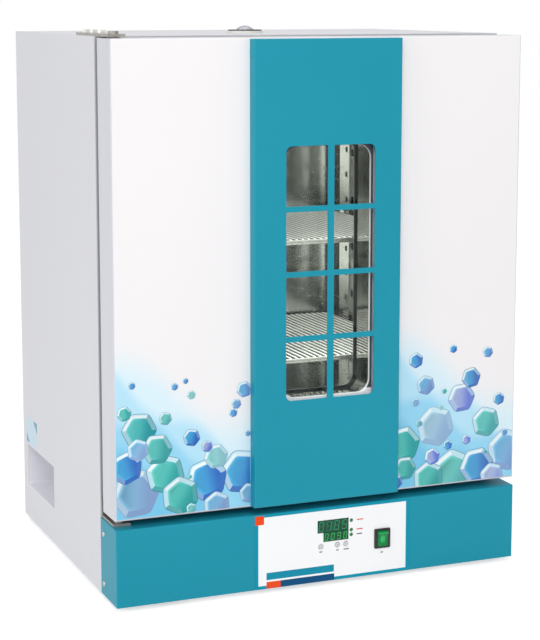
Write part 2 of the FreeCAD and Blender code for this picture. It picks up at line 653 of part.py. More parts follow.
def wire_shelf(label, level):
    """A flat-bar frame filled with wires that run front to back."""
    depth = "shelf_back - shelf_front"
    shelf = body(label, "0", "shelf_front", f"false_floor_top + {level} + contact_gap")
    frame = rectangle(sketch(shelf, "XY"), ("-shelf_half", "shelf_half"), ("0", depth))
    rectangle(frame, ("-shelf_half + shelf_bar_width", "shelf_half - shelf_bar_width"),
              ("shelf_bar_width", f"{depth} - shelf_bar_width"))
    pad(shelf, frame, "shelf_bar_height")
    tie = rectangle(sketch(shelf, "XY"), ("-shelf_half", "shelf_half"),
                    (f"({depth} - shelf_bar_width) / 2", f"({depth} + shelf_bar_width) / 2"))
    pad(shelf, tie, "shelf_bar_height - 1")
    pitch = "2 * (shelf_half - shelf_bar_width) / (shelf_wires + 1)"
    wire = circle(sketch(shelf, "XZ", "-shelf_bar_width / 2"),
                  f"{pitch} - shelf_half + shelf_bar_width",
                  "shelf_bar_height - shelf_wire_radius - 0.5", "shelf_wire_radius")
    first = pad(shelf, wire, f"{depth} - shelf_bar_width", reverse=True)
    row_of(shelf, first, "H_Axis", pitch, "shelf_wires")
    return shelf


# Fan, heater and probe


def fan_wheel():
    """A centrifugal wheel: hub and back plate, swept blades and a shroud ring."""
    wheel = body("fan_wheel", "0", "fan_y", "chamber_floor + wheel_lift")
    revolve(wheel, [
        ("shaft_radius + shaft_play", "0"), ("wheel_radius", "0"), ("wheel_radius", "wheel_plate"),
        ("hub_radius", "wheel_plate"), ("hub_radius", "wheel_height * 0.7"),
        ("shaft_radius + shaft_play", "wheel_height * 0.7")])
    blade = sketch(wheel, "XY")
    offset, bend, gauge = map(value, ("blade_arc_offset", "blade_arc_radius", "blade_thickness"))
    centre = V(offset, 0, 0)
    ends = [value("wheel_eye_radius"), value("wheel_radius - blade_rim_gap")]
    arcs = []
    for radius in (bend, bend + gauge):
        turns = []
        for reach in ends:
            lean = (offset ** 2 + radius ** 2 - reach ** 2) / (2 * offset * radius)
            turns.append(math.pi - math.acos(lean))
        round_edge = Part.Circle(centre, V(0, 0, 1), radius)
        arcs.append(blade.addGeometry(Part.ArcOfCircle(round_edge, turns[1], turns[0]), False))
    tips = [[V(*blade.getPoint(arc, end)) for end in (1, 2)] for arc in arcs]
    caps = [blade.addGeometry(Part.LineSegment(tips[0][end], tips[1][end]), False)
            for end in (0, 1)]
    for end, cap in enumerate(caps, start=1):
        for arc, cap_end in zip(arcs, (1, 2)):
            blade.addConstraint(Sketcher.Constraint("Coincident", arc, end, cap, cap_end))
    for arc, text in zip(arcs, ("blade_arc_radius", "blade_arc_radius + blade_thickness")):
        hold(blade, "DistanceX", -1, 1, arc, 3, text="blade_arc_offset")
        hold(blade, "DistanceY", -1, 1, arc, 3, text="0")
        hold(blade, "Radius", arc, text=text)
        hold(blade, "Distance", -1, 1, arc, 1, text="wheel_radius - blade_rim_gap")
        hold(blade, "Distance", -1, 1, arc, 2, text="wheel_eye_radius")
    first = pad(wheel, blade, "wheel_height - wheel_plate / 2")
    ring_of(wheel, first, "blade_count")
    shroud = circle(sketch(wheel, "XY", "wheel_height - wheel_plate"), "0", "0", "wheel_radius")
    circle(shroud, "0", "0", "wheel_eye_radius + wheel_plate")
    pad(wheel, shroud, "wheel_plate")
    return wheel


def fan_shaft():
    shaft = body("fan_shaft", "0", "fan_y", "deck_bottom - shaft_seat")
    revolve(shaft, [
        ("0", "0"), ("shaft_radius - 0.6", "0"), ("shaft_radius", "0.6"),
        ("shaft_radius", "chamber_floor + wheel_lift - deck_bottom + shaft_seat"
         " + wheel_height * 0.7"),
        ("0", "chamber_floor + wheel_lift - deck_bottom + shaft_seat + wheel_height * 0.7")])
    return shaft


def fan_motor():
    """A flanged, ribbed motor hung under the deck with its shaft up."""
    motor = body("fan_motor", "0", "fan_y", "deck_bottom")
    length = "motor_flange_gauge + motor_length"
    bore = "shaft_radius + shaft_play"
    rib = "motor_length / 9"
    points = [(bore, "0"), ("motor_flange", "0"), ("motor_flange", "-motor_flange_gauge"),
              ("motor_radius", "-motor_flange_gauge")]
    for groove in range(1, 8, 2):
        start = f"-motor_flange_gauge - {groove} * {rib}"
        inner = "motor_radius - motor_rib_depth"
        points += [("motor_radius", start), (inner, start),
                   (inner, f"{start} - {rib}"), ("motor_radius", f"{start} - {rib}")]
    points += [("motor_radius", f"-({length})"), ("0", f"-({length})"),
               ("0", "-shaft_seat - contact_gap"), (bore, "-shaft_seat - contact_gap")]
    revolve(motor, points)
    return motor


def heater_element():
    """A tubular ring round the wheel, its two legs sealed by nuts in the floor."""
    ring = doc.addObject("Part::Torus", "heater_ring")
    bind(ring, "Radius1", "heater_radius")
    bind(ring, "Radius2", "heater_rod_radius")
    bind(ring, "Angle3", "360 - heater_gap_angle")
    ring.Placement.Rotation = FreeCAD.Rotation(90 + value("heater_gap_angle") / 2, 0, 0)
    bind(ring, ".Placement.Rotation.Yaw", "90 + heater_gap_angle / 2")
    height = "chamber_floor + heater_lift + heater_rod_radius"
    move(ring, "0", "fan_y", height)
    parts = [ring]
    for name, side in (("near", -1), ("far", 1)):
        x = f"{side} * heater_radius * sin(heater_gap_angle * 0.5)"
        y = "fan_y + heater_radius * cos(heater_gap_angle * 0.5)"
        parts.append(rod(f"heater_leg_{name}", "heater_rod_radius", f"{height} - chamber_floor",
                         x, y, "chamber_floor"))
        elbow = doc.addObject("Part::Sphere", f"heater_elbow_{name}")
        bind(elbow, "Radius", "heater_rod_radius")
        parts.append(move(elbow, x, y, height))
        nut = doc.addObject("Part::Prism", f"heater_nut_{name}")
        nut.Polygon = 6
        bind(nut, "Circumradius", "heater_nut_radius")
        bind(nut, "Height", "heater_nut_height")
        parts.append(move(nut, x, y, "chamber_floor"))
    return fuse("heater_element", parts)


def temperature_probe():
    """A sheathed sensor through the rear wall with its gland nut inside."""
    probe = body("temperature_probe", "probe_offset", "chamber_back",
                 "chamber_floor + probe_height")
    sheath = circle(sketch(probe, "XZ", "probe_reach"), "0", "0", "probe_radius")
    pad(probe, sheath, "probe_reach + probe_tail", reverse=True)
    gland = circle(sketch(probe, "XZ"), "0", "0", "probe_gland_radius")
    pad(probe, gland, "probe_gland_length")
    return probe


# Roof vent


def vent_tube():
    tube = body("vent_tube", "vent_x", "vent_y", "liner_top")
    ring = circle(sketch(tube, "XY"), "0", "0", "vent_tube_radius + liner_gauge")
    circle(ring, "0", "0", "vent_tube_radius")
    pad(tube, ring, "cabinet_top - liner_top")
    return tube


def vent_collar():
    """The fixed ring on the roof with a ported face."""
    collar = body("vent_collar", "vent_x", "vent_y", "cabinet_top")
    revolve(collar, [
        ("vent_tube_radius", "0"), ("vent_collar_radius", "0"),
        ("vent_collar_radius", "vent_collar_height - 0.8"),
        ("vent_collar_radius - 0.8", "vent_collar_height"),
        ("vent_spindle_radius + shaft_play", "vent_collar_height"),
        ("vent_spindle_radius + shaft_play", "vent_collar_height - liner_gauge"),
        ("vent_tube_radius", "vent_collar_height - liner_gauge")])
    port = circle(sketch(collar, "XY", "vent_collar_height"), "vent_port_ring", "0",
                  "vent_port_radius")
    ring_of(collar, pocket(collar, port, "liner_gauge", both=False), "vent_ports")
    return collar


def vent_damper():
    """The turning face; its ports line up with the collar's when open."""
    disc = body("vent_damper", "vent_x", "vent_y", "cabinet_top + vent_collar_height + contact_gap")
    bind(disc, ".Placement.Rotation.Yaw", "180 / vent_ports")
    plate = circle(sketch(disc, "XY"), "0", "0", "vent_disc_radius")
    circle(plate, "0", "0", "vent_spindle_radius")
    pad(disc, plate, "vent_disc_height")
    port = circle(sketch(disc, "XY"), "vent_port_ring", "0", "vent_port_radius")
    ring_of(disc, pocket(disc, port), "vent_ports")
    return disc


def vent_knob():
    """A domed knob on a spindle that passes through the collar."""
    seat = "cabinet_top + vent_collar_height + contact_gap + vent_disc_height"
    rim = rod("knob_rim", "vent_knob_radius", "vent_knob_rim", "vent_x", "vent_y", seat)
    dome = doc.addObject("Part::Sphere", "knob_dome")
    ball = "((vent_knob_radius ^ 2 + vent_knob_rise ^ 2) / (2 * vent_knob_rise))"
    bind(dome, "Radius", ball)
    bind(dome, "Angle1", f"asin(({ball} - vent_knob_rise) / {ball})")
    move(dome, "vent_x", "vent_y", f"{seat} + vent_knob_rim + vent_knob_rise - {ball}")
    foot = "vent_disc_height + contact_gap + liner_gauge + vent_disc_height"
    spindle = rod("knob_spindle", "vent_spindle_radius", foot, "vent_x", "vent_y",
                  f"{seat} - ({foot})")
    return fuse("vent_knob", [rim, dome, spindle])


# Door


def window_outline(item, grow, corner, base):
    """The rounded window grown by a margin; base is the sketch's own bottom."""
    return round_rectangle(item, (f"window_left - ({grow})", f"window_right + ({grow})"),
                           (f"window_bottom - ({grow}) - ({base})",
                            f"window_top + ({grow}) - ({base})"), corner)


def door_outer_pan():
    """The folded front pan with the window opening and the pivot bush holes."""
    pan = body("door_outer_pan", "0", "door_front", "door_bottom")
    face = rectangle(sketch(pan, "XZ"), ("left", "right"), ("0", "door_height"))
    pad(pan, face, "door_thickness", reverse=True)
    upright_edges = edges_where(pan, lambda p: abs(p.y) < 0.01)
    fillet(pan, upright_edges, "bend_radius")
    hollow = rectangle(sketch(pan, "XZ", "-door_thickness"), ("inside_left", "inside_right"),
                       ("sheet_gauge", "door_height - sheet_gauge"))
    pocket(pan, hollow, "door_thickness - sheet_gauge", reverse=True, both=False)
    opening = window_outline(sketch(pan, "XZ"), "bezel_set_back", "window_corner", "door_bottom")
    pocket(pan, opening, "sheet_gauge", both=False)
    bush = circle(sketch(pan, "XY"), "pivot_x", "pivot_y - door_front",
                  "hinge_pin_radius + shaft_play + bush_wall")
    pocket(pan, bush)
    return pan


def door_inner_skin():
    plate = body("door_inner_skin", "0", "door_back", "door_bottom")
    face = rectangle(sketch(plate, "XZ"), ("inside_left", "inside_right"),
                     ("sheet_gauge", "door_height - sheet_gauge"))
    pad(plate, face, "liner_gauge")
    opening = window_outline(sketch(plate, "XZ"), "bezel_set_back", "window_corner",
                             "door_bottom")
    pocket(plate, opening)
    return plate


def door_insulation():
    wool = body("door_insulation", "0", "door_front + sheet_gauge", "door_bottom")
    face = rectangle(sketch(wool, "XZ"), ("left + 2 * pivot_inset", "inside_right"),
                     ("sheet_gauge", "door_height - sheet_gauge"))
    pad(wool, face, "door_thickness - sheet_gauge - liner_gauge", reverse=True)
    pocket(wool, window_outline(sketch(wool, "XZ"), "bezel_set_back + pane_edge",
                                "window_corner", "door_bottom"))
    return wool


def centre_strip():
    """The raised channel on the door, its window crossed by glazing bars."""
    strip = body("centre_strip", "0", "door_front", "strip_bottom")
    half = "strip_width / 2"
    height = "strip_top - strip_bottom"
    face = rectangle(sketch(strip, "XZ"), (f"-{half}", half), ("0", height))
    pad(strip, face, "strip_proud")
    fillet(strip, edges_where(strip, lambda p: near(p.y, "-strip_proud")), "bend_radius")
    hollow = rectangle(sketch(strip, "XZ"), (f"-{half} + strip_gauge", f"{half} - strip_gauge"),
                       ("strip_gauge", f"{height} - strip_gauge"))
    pocket(strip, hollow, "strip_proud - strip_gauge", reverse=True, both=False)
    lift = "strip_proud - strip_gauge"
    opening = window_outline(sketch(strip, "XZ", lift), "0", "strip_corner", "strip_bottom")
    pocket(strip, opening, "strip_gauge", reverse=True, both=False)
    low, high = "window_bottom - strip_bottom", "window_top - strip_bottom"
    upright = rectangle(sketch(strip, "XZ", lift),
                        ("window_shift - bar_upright_width / 2",
                         "window_shift + bar_upright_width / 2"), (low, high))
    pad(strip, upright, "strip_gauge")
    pitch = "(window_height + bar_cross_width) / bar_rows"
    cross = rectangle(sketch(strip, "XZ", lift), ("window_left", "window_right"),
                      (f"{low} + {pitch} - bar_cross_width", f"{low} + {pitch}"))
    first = pad(strip, cross, "strip_gauge")
    row_of(strip, first, "V_Axis", pitch, "bar_rows - 1")
    return strip


def window_ring(label, y, depth, grow_out, grow_in, corner_out, corner_in="window_corner"):
    """A rounded frame round the window, from y towards the back."""
    ring = body(label, "0", y, "0")
    outline = window_outline(sketch(ring, "XZ"), grow_out, corner_out, "0")
    window_outline(outline, grow_in, corner_in, "0")
    pad(ring, outline, depth, reverse=True)
    return ring


def window_bezel():
    """A flange on the door pan and a collar that stands up behind the strip's opening."""
    bezel = body("window_bezel", "0", "door_front", "0")
    flange = window_outline(sketch(bezel, "XZ", "bezel_base"), "bezel_set_back + bezel_rim",
                            "window_corner + bezel_rim", "0")
    window_outline(flange, "-bezel_lip", "bezel_corner", "0")
    pad(bezel, flange, "bezel_base", reverse=True)
    collar = round_rectangle(sketch(bezel, "XZ", "bezel_depth"),
                             ("window_left - bezel_side", "window_right + bezel_side"),
                             ("window_bottom - bezel_end", "window_top + bezel_end"),
                             "bezel_outer_corner")
    window_outline(collar, "-bezel_lip", "bezel_corner", "0")
    pad(bezel, collar, "bezel_depth - bezel_base", reverse=True)
    return bezel


def pane(label, y):
    glass = body(label, "0", y, "0")
    face = window_outline(sketch(glass, "XZ"), "bezel_set_back + pane_edge", "window_corner", "0")
    pad(glass, face, "pane_thickness", reverse=True)
    return glass


def door_gasket():
    """The silicone seal on the cabinet's front, rounded where the door meets it."""
    seal = body("door_gasket", "0", "cabinet_front", "0")
    inner, outer = "gasket_margin", "gasket_margin + gasket_width"
    outline = sketch(seal, "XZ")
    for grow in (outer, inner):
        rectangle(outline, (f"liner_left - ({grow})", f"liner_right + {grow}"),
                  (f"liner_bottom - ({grow})", f"liner_top + {grow}"))
    pad(seal, outline, "seal_gap - contact_gap")
    front = edges_where(seal, lambda p: near(p.y, "-(seal_gap - contact_gap)"))
    fillet(seal, front, "gasket_round")
    return seal


# Hinges and catch


def hinge_bracket(label, top):
    """A plate on the cabinet with a riveted pin that enters the door."""
    side = 1 if top else -1
    low = "cabinet_top" if top else "base_top"
    x = ("pivot_x - hinge_width / 2", "pivot_x + hinge_width / 2")
    front = "pivot_y - hinge_width / 2"
    parts = []
    if top:
        back = "cabinet_front + hinge_length"
        parts.append(box("hinge_plate", x, (front, back), (low, f"{low} + hinge_gauge")))
        parts.append(rod("hinge_pin_upper", "hinge_pin_radius",
                         "top_gap + hinge_pin_length + hinge_gauge", "pivot_x", "pivot_y",
                         "door_top - hinge_pin_length"))
        parts.append(rod("hinge_pin_head", "pin_head_radius", "pin_head_height", "pivot_x",
                         "pivot_y", f"{low} + hinge_gauge"))
        plate = fuse("hinge_top_blank", parts)
        holes = [rod(f"hinge_hole_{i}", "bolt_shank_radius", "hinge_gauge", "pivot_x",
                     f"cabinet_front + bolt_first + {i} * bolt_pitch", low)
                 for i in range(int(value("bolts")))]
        return cut(label, plate, holes)
    parts.append(box("hinge_foot", x, (front, "cabinet_front"), (low, f"{low} + hinge_gauge")))
    parts.append(box("hinge_leg_plate", x, ("cabinet_front - hinge_gauge", "cabinet_front"),
                     (low, f"{low} + hinge_leg")))
    parts.append(rod("hinge_boss", "pin_head_radius", "door_lift - bush_flange - contact_gap",
                     "pivot_x", "pivot_y", low))
    parts.append(rod("hinge_pin_lower", "hinge_pin_radius", "door_lift + hinge_pin_length",
                     "pivot_x", "pivot_y", low))
    return fuse(label, parts)


def hinge_bushes():
    """Two flanged bushes pressed into the door's top and bottom walls."""
    bushes = []
    for name, place, turn in (("top", "door_top", 1), ("bottom", "door_bottom", -1)):
        bush = body(f"bush_{name}", "pivot_x", "pivot_y", place)
        inner = "hinge_pin_radius + shaft_play"
        outer = f"{inner} + bush_wall"
        revolve(bush, [
            (inner, f"{turn} * bush_flange"), (f"{outer} + 2", f"{turn} * bush_flange"),
            (f"{outer} + 2", "0"), (outer, "0"), (outer, f"-{turn} * bush_length"),
            (inner, f"-{turn} * bush_length")])
        bushes.append(bush)
    return group("hinge_bushes", bushes)


def hinge_bolts():
    """Hexagon heads on the top bracket, shanks through it."""
    bolts = []
    for i in range(int(value("bolts"))):
        y = f"cabinet_front + bolt_first + {i} * bolt_pitch"
        head = doc.addObject("Part::Prism", f"bolt_head_{i}")
        head.Polygon = 6
        bind(head, "Circumradius", "bolt_head_radius")
        bind(head, "Height", "bolt_head_height")
        move(head, "pivot_x", y, "cabinet_top + hinge_gauge")
        shank = rod(f"bolt_shank_{i}", "bolt_shank_radius", "hinge_gauge", "pivot_x", y,
                    "cabinet_top")
        bolts.append(fuse(f"bolt_{i}", [head, shank]))
    return group("hinge_bolts", bolts)


def door_magnets():
    """Two catch magnets on the cabinet's front, beside the gasket."""
    magnets = []
    middle = "(door_bottom + door_top) / 2"
    for name, side in (("low", -1), ("high", 1)):
        centre = f"{middle} + {side} * magnet_spread / 2"
        magnets.append(box(f"magnet_{name}",
                           ("inside_right - magnet_inset - magnet_width",
                            "inside_right - magnet_inset"),
                           ("door_back + contact_gap", "cabinet_front"),
                           (f"{centre} - magnet_height / 2", f"{centre} + magnet_height / 2")))
    return group("door_magnets", magnets)


# Base front and its controls


def label_x(offset):
    return f"label_left + {offset}"


def label_z(offset):
    return f"label_bottom + {offset}"


LAMPS = ("lamp_z_heat", "lamp_z_timer", "lamp_z_power")
KEYS = {"key_set": "key_x_set", "key_down": "key_x_down", "key_up": "key_x_up"}


def control_openings(item, base, margin):
    """The display, lamp, key and rocker openings shared by the cover and the label."""
    for x, z, width, height in (("display_x", "display_z", "display_width", "display_height"),
                                ("timer_x", "timer_z", "timer_width", "timer_height")):
        rectangle(item, (f"{label_x(x)} - {margin}", f"{label_x(x)} + {width} + {margin}"),
                  (f"{label_z(z)} - {base} - {margin}",
                   f"{label_z(z)} + {height} - {base} + {margin}"))
    for lamp in LAMPS:
        circle(item, label_x("lamp_x"), f"{label_z(lamp)} - {base}", f"lamp_radius + {margin}")
    for offset in KEYS.values():
        circle(item, label_x(offset), f"{label_z('key_z')} - {base}", "key_radius + key_play")
    rectangle(item, (label_x("bezel_x + bezel_flange_step"),
                     label_x("bezel_x + bezel_width - bezel_flange_step")),
              (f"{label_z('bezel_z + bezel_flange_step')} - {base}",
               f"{label_z('bezel_z + bezel_height - bezel_flange_step')} - {base}"))
    return item


def base_front_cover():
    """The folded cover round the front of the base, with weld studs for the board."""
    cover = body("base_front_cover", "0", "cover_front", "base_bottom")
    depth = "cabinet_front - cover_front"
    plan = rectangle(sketch(cover, "XY"), ("left", "right"), ("0", depth))
    pad(cover, plan, "base_height")
    front = edges_where(cover, lambda p: abs(p.y) < 0.01 and p.z > 0.01)
    verticals = edges_where(cover, lambda p: abs(p.y) < 0.01)
    bottom = edges_where(cover, lambda p: abs(p.y) < 0.01 and p.z < 0.01)
    fillet(cover, sorted(set(front + verticals) - set(bottom)), "bend_radius")
    hollow = rectangle(sketch(cover, "XY"), ("inside_left", "inside_right"),
                       ("sheet_gauge", depth))
    pocket(cover, hollow, "base_height - sheet_gauge", reverse=True, both=False)
    openings = control_openings(sketch(cover, "XZ"), "base_bottom", "display_play")
    pocket(cover, openings, "sheet_gauge", both=False)
    holes = sketch(cover, "YZ")
    for height in ("side_screw_low", "side_screw_high"):
        circle(holes, f"{depth} - side_screw_back", height, "screw_shank_radius")
    pocket(cover, holes)
    studs = sketch(cover, "XZ", "-sheet_gauge")
    for x in ("board_x + stud_inset", "board_x + board_width - stud_inset"):
        for z in ("board_z + stud_inset", "board_z + board_height - stud_inset"):
            circle(studs, label_x(x), f"{label_z(z)} - base_bottom", "stud_radius")
    pad(cover, studs, "board_set_back", reverse=True)
    return cover


def control_label():
    label = body("control_label", "0", "cover_front", "label_bottom")
    face = rectangle(sketch(label, "XZ"), ("label_left", "label_left + label_width"),
                     ("0", "label_height"))
    control_openings(face, "label_bottom", "display_play")
    pad(label, face, "label_gauge")
    return label


def display(label, x, z, width, height):
    """A digit module on the board, its face just behind the label."""
    return box(label, (label_x(x), f"{label_x(x)} + {width}"), ("cover_front", "board_front"),
               (label_z(z), f"{label_z(z)} + {height}"))


def status_lamps():
    lamps = []
    for index, lamp in enumerate(LAMPS):
        y = "label_front - lamp_proud + lamp_radius"
        stem = rod(f"lamp_stem_{index}", "lamp_radius", f"board_front - ({y})",
                   label_x("lamp_x"), y, label_z(lamp), "y")
        lens = doc.addObject("Part::Sphere", f"lamp_lens_{index}")
        bind(lens, "Radius", "lamp_radius")
        move(lens, label_x("lamp_x"), y, label_z(lamp))
        lamps.append(fuse(f"lamp_{index}", [stem, lens]))
    return group("status_lamps", lamps)


def key(label, offset):
    """A round key on a thin stem that ends just short of its switch."""
    cap = body(label, label_x(offset), "label_front - key_proud", label_z("key_z"))
    cap_length = "key_proud + label_gauge + sheet_gauge + 1"
    pad(cap, circle(sketch(cap, "XZ"), "0", "0", "key_radius"), cap_length, reverse=True)
    reach = "board_front - key_switch_height - key_travel - 0.2 - label_front + key_proud"
    pad(cap, circle(sketch(cap, "XZ"), "0", "0", "key_stem_radius"), reach, reverse=True)
    fillet(cap, edges_round(cap, "0"), "key_proud / 3")
    return cap


def edges_round(owner, height):
    """Closed round edges of the last feature that lie at a given depth on Y."""
    return [f"Edge{index}" for index, edge in enumerate(owner.Tip.Shape.Edges, start=1)
            if len(edge.Vertexes) == 1 and near(edge.Vertexes[0].Point.y, height)]


def control_board():
    """The circuit board on its studs, with a switch behind each key."""
    board = body("control_board", "0", "board_front", "label_bottom")
    face = rectangle(sketch(board, "XZ"), (label_x("board_x"), label_x("board_x + board_width")),
                     ("board_z", "board_z + board_height"))
    pad(board, face, "board_gauge", reverse=True)
    switches = sketch(board, "XZ")
    for offset in KEYS.values():
        rectangle(switches, (f"{label_x(offset)} - key_switch_size / 2",
                             f"{label_x(offset)} + key_switch_size / 2"),
                  ("key_z - key_switch_size / 2", "key_z + key_switch_size / 2"))
    pad(board, switches, "key_switch_height")
    return board


def rocker_bezel():
    """The snap-in switch frame, hollow for the rocker."""
    frame = body("rocker_bezel", label_x("bezel_x"), "label_front", label_z("bezel_z"))
    flange = round_rectangle(sketch(frame, "XZ"), ("0", "bezel_width"), ("0", "bezel_height"),
                             "bezel_flange_step")
    pad(frame, flange, "bezel_proud")
    shell = rectangle(sketch(frame, "XZ"), ("bezel_flange_step", "bezel_width - bezel_flange_step"),
                      ("bezel_flange_step", "bezel_height - bezel_flange_step"))
    pad(frame, shell, "bezel_body_depth", reverse=True)
    hollow = rectangle(sketch(frame, "XZ", "bezel_proud"),
                       ("bezel_wall + bezel_flange_step", "bezel_width - bezel_wall"
                        " - bezel_flange_step"), ("bezel_wall", "bezel_height - bezel_wall"))
    pocket(frame, hollow, "bezel_hollow", both=False)
    pin = circle(sketch(frame, "YZ", "bezel_width / 2"), "rocker_pivot_depth - bezel_proud",
                 "bezel_height / 2", "rocker_pin_radius + shaft_play")
    pocket(frame, pin, "bezel_width - 2 * bezel_flange_step - 2")
    return frame


def rocker():
    """The lit rocker on its cross pin, resting at one end of its tilt."""
    lever = body("power_rocker", label_x("bezel_x + bezel_width / 2"),
                 "label_front - bezel_proud + rocker_pivot_depth",
                 label_z("bezel_z + bezel_height / 2"))
    half = "(bezel_height / 2 - bezel_wall - rocker_end_play)"
    face = "(rocker_pivot_depth + rocker_rise)"
    profile = polygon(sketch(lever, "YZ"), [
        (f"-{face}", f"-{half}"), ("0", f"-{half}"), ("rocker_back", f"-{half} * 0.35"),
        ("rocker_back", f"{half} * 0.35"), ("0", half), (f"-{face}", half),
        (f"-{face} + rocker_rise * 0.6", f"{half} * 0.45"),
        (f"-{face} + rocker_rise * 0.75", "0"),
        (f"-{face} + rocker_rise * 0.6", f"-{half} * 0.45")])
    width = "bezel_width - 2 * (bezel_wall + bezel_flange_step + rocker_play)"
    pad(lever, profile, width, both=True)
    pin = circle(sketch(lever, "YZ"), "0", "0", "rocker_pin_radius")
    pad(lever, pin, "bezel_width - 2 * bezel_flange_step - 2.4", both=True)
    bind(lever, ".Placement.Rotation.Roll", "rocker_tilt")
    return lever


# Base inside


def transformer():
    """A laminated core with its coil standing out on both sides."""
    x = ("-transformer_x - transformer_width / 2", "-transformer_x + transformer_width / 2")
    y = ("cabinet_front + transformer_back",
         "cabinet_front + transformer_back + transformer_depth")
    floor = "base_bottom + sheet_gauge"
    core = box("core", x, y, (floor, f"{floor} + transformer_height"))
    coil = box("coil", (f"{x[0]} + coil_overhang", f"{x[1]} - coil_overhang"),
               (f"{y[0]} - coil_overhang", f"{y[1]} + coil_overhang"),
               (f"{floor} + coil_overhang", f"{floor} + transformer_height - coil_overhang"))
    return fuse("transformer", [core, coil])


def heater_relay():
    """A relay block with four screw terminals on its top."""
    relay = body("heater_relay", "relay_x", "cabinet_front + relay_back",
                 "base_bottom + sheet_gauge")
    plan = round_rectangle(sketch(relay, "XY"), ("-relay_width / 2", "relay_width / 2"),
                           ("0", "relay_depth"), "3")
    pad(relay, plan, "relay_height")
    terminals = sketch(relay, "XY", "relay_height")
    for x in ("-relay_width / 4", "relay_width / 4"):
        for y in ("relay_depth / 8", "relay_depth * 7 / 8"):
            circle(terminals, x, y, "screw_head_radius")
    pad(relay, terminals, "screw_head_height")
    return relay


def terminal_block():
    """A row of open ways between insulating walls."""
    block = body("terminal_block", "terminal_x", "cabinet_front + terminal_back",
                 "base_bottom + sheet_gauge")
    plan = rectangle(sketch(block, "XY"), ("-terminal_width / 2", "terminal_width / 2"),
                     ("0", "terminal_depth"))
    pad(block, plan, "terminal_height")
    pitch = "(terminal_width - terminal_wall) / terminal_ways"
    way = rectangle(sketch(block, "XY", "terminal_height"),
                    ("-terminal_width / 2 + terminal_wall", f"-terminal_width / 2 + {pitch}"),
                    ("terminal_depth * 0.2", "terminal_depth * 0.8"))
    first = pocket(block, way, "terminal_height * 0.5", both=False)
    row_of(block, first, "H_Axis", pitch, "terminal_ways")
    return block


def inlet_socket():
    """A flanged mains inlet with three pins and a fuse drawer above it."""
    socket = body("inlet_socket", "right - inlet_from_right", "cabinet_back",
                  "base_bottom + inlet_height")
    half_w, half_t = "inlet_width / 2", "inlet_tall / 2"
    flange = round_rectangle(sketch(socket, "XZ"), (f"-{half_w}", half_w),
                             (f"-{half_t}", half_t), "3")
    pad(socket, flange, "inlet_gauge", reverse=True)
    shell = rectangle(sketch(socket, "XZ"), ("-inlet_body_width / 2", "inlet_body_width / 2"),
                      ("-inlet_body_tall / 2", "inlet_body_tall / 2"))
    pad(socket, shell, "inlet_body_depth")
    recess = polygon(sketch(socket, "XZ", "-inlet_gauge"), [
        ("-inlet_body_width * 0.44", "-inlet_body_tall * 0.43"),
        ("inlet_body_width * 0.44", "-inlet_body_tall * 0.43"),
        ("inlet_body_width * 0.44", "-inlet_body_tall * 0.16"),
        ("inlet_body_width * 0.3", "-inlet_body_tall * 0.04"),
        ("-inlet_body_width * 0.3", "-inlet_body_tall * 0.04"),
        ("-inlet_body_width * 0.44", "-inlet_body_tall * 0.16")])
    pocket(socket, recess, "inlet_body_depth * 0.7", reverse=True, both=False)
    pins = sketch(socket, "XZ", "inlet_body_depth * 0.7 - inlet_gauge")
    for x, z in (("-7", "-0.28"), ("7", "-0.28"), ("0", "-0.16")):
        rectangle(pins, (f"{x} - 1", f"{x} + 1"),
                  (f"inlet_body_tall * {z} - 2", f"inlet_body_tall * {z} + 2"))
    pad(socket, pins, "inlet_body_depth * 0.6", reverse=True)
    drawer = round_rectangle(sketch(socket, "XZ"),
                             ("-inlet_body_width * 0.36", "inlet_body_width * 0.36"),
                             ("inlet_body_tall * 0.14", "inlet_body_tall * 0.42"), "1.5")
    bind(drawer, ".AttachmentOffset.Base.z", "-inlet_gauge")
    pocket(socket, drawer, "1", reverse=True, both=False)
    return socket


def panel_screws():
    """Pan-head screws on the rear panel's edges and the base cover's sides."""
    screws = []

    def screw(name, x, y, z, along, sign):
        shank_start = {"x": x, "y": y, "z": z}[along]
        head_at = dict(x=x, y=y, z=z)
        shank_at = dict(head_at)
        if sign > 0:
            shank_at[along] = f"{shank_start} - 2 * sheet_gauge"
        else:
            head_at[along] = f"{shank_start} - screw_head_height"
        head = rod(f"{name}_head", "screw_head_radius", "screw_head_height",
                   head_at["x"], head_at["y"], head_at["z"], along)
        shank = rod(f"{name}_shank", "screw_shank_radius", "2 * sheet_gauge",
                    shank_at["x"], shank_at["y"], shank_at["z"], along)
        screws.append(fuse(name, [head, shank]))

    for hand, x in (("left", "left + rear_screw_inset"), ("right", "right - rear_screw_inset")):
        for i in range(int(value("rear_screws"))):
            screw(f"rear_screw_{hand}_{i}", x, "cabinet_back",
                  f"base_bottom + rear_screw_low + {i} * rear_screw_pitch", "y", 1)
    for hand, x, sign in (("left", "left", -1), ("right", "right", 1)):
        for place in ("low", "high"):
            screw(f"cover_screw_{hand}_{place}", x, "cabinet_front - side_screw_back",
                  f"base_bottom + side_screw_{place}", "x", sign)
    return group("panel_screws", screws)


def rubber_feet():
    feet = []
    for side, x in (("left", "left + foot_inset"), ("right", "right - foot_inset")):
        for end, y in (("front", "cover_front + foot_inset"), ("back", "cabinet_back - foot_inset")):
            foot = body(f"foot_{end}_{side}", x, y, "0")
            revolve(foot, [
                ("0", "0"), ("foot_radius - 1", "0"), ("foot_radius", "1"),
                ("foot_top_radius", "foot_height - 1.5"), ("foot_top_radius", "foot_height"),
                ("0", "foot_height")])
            feet.append(foot)
    return group("rubber_feet", feet)


# The assembly

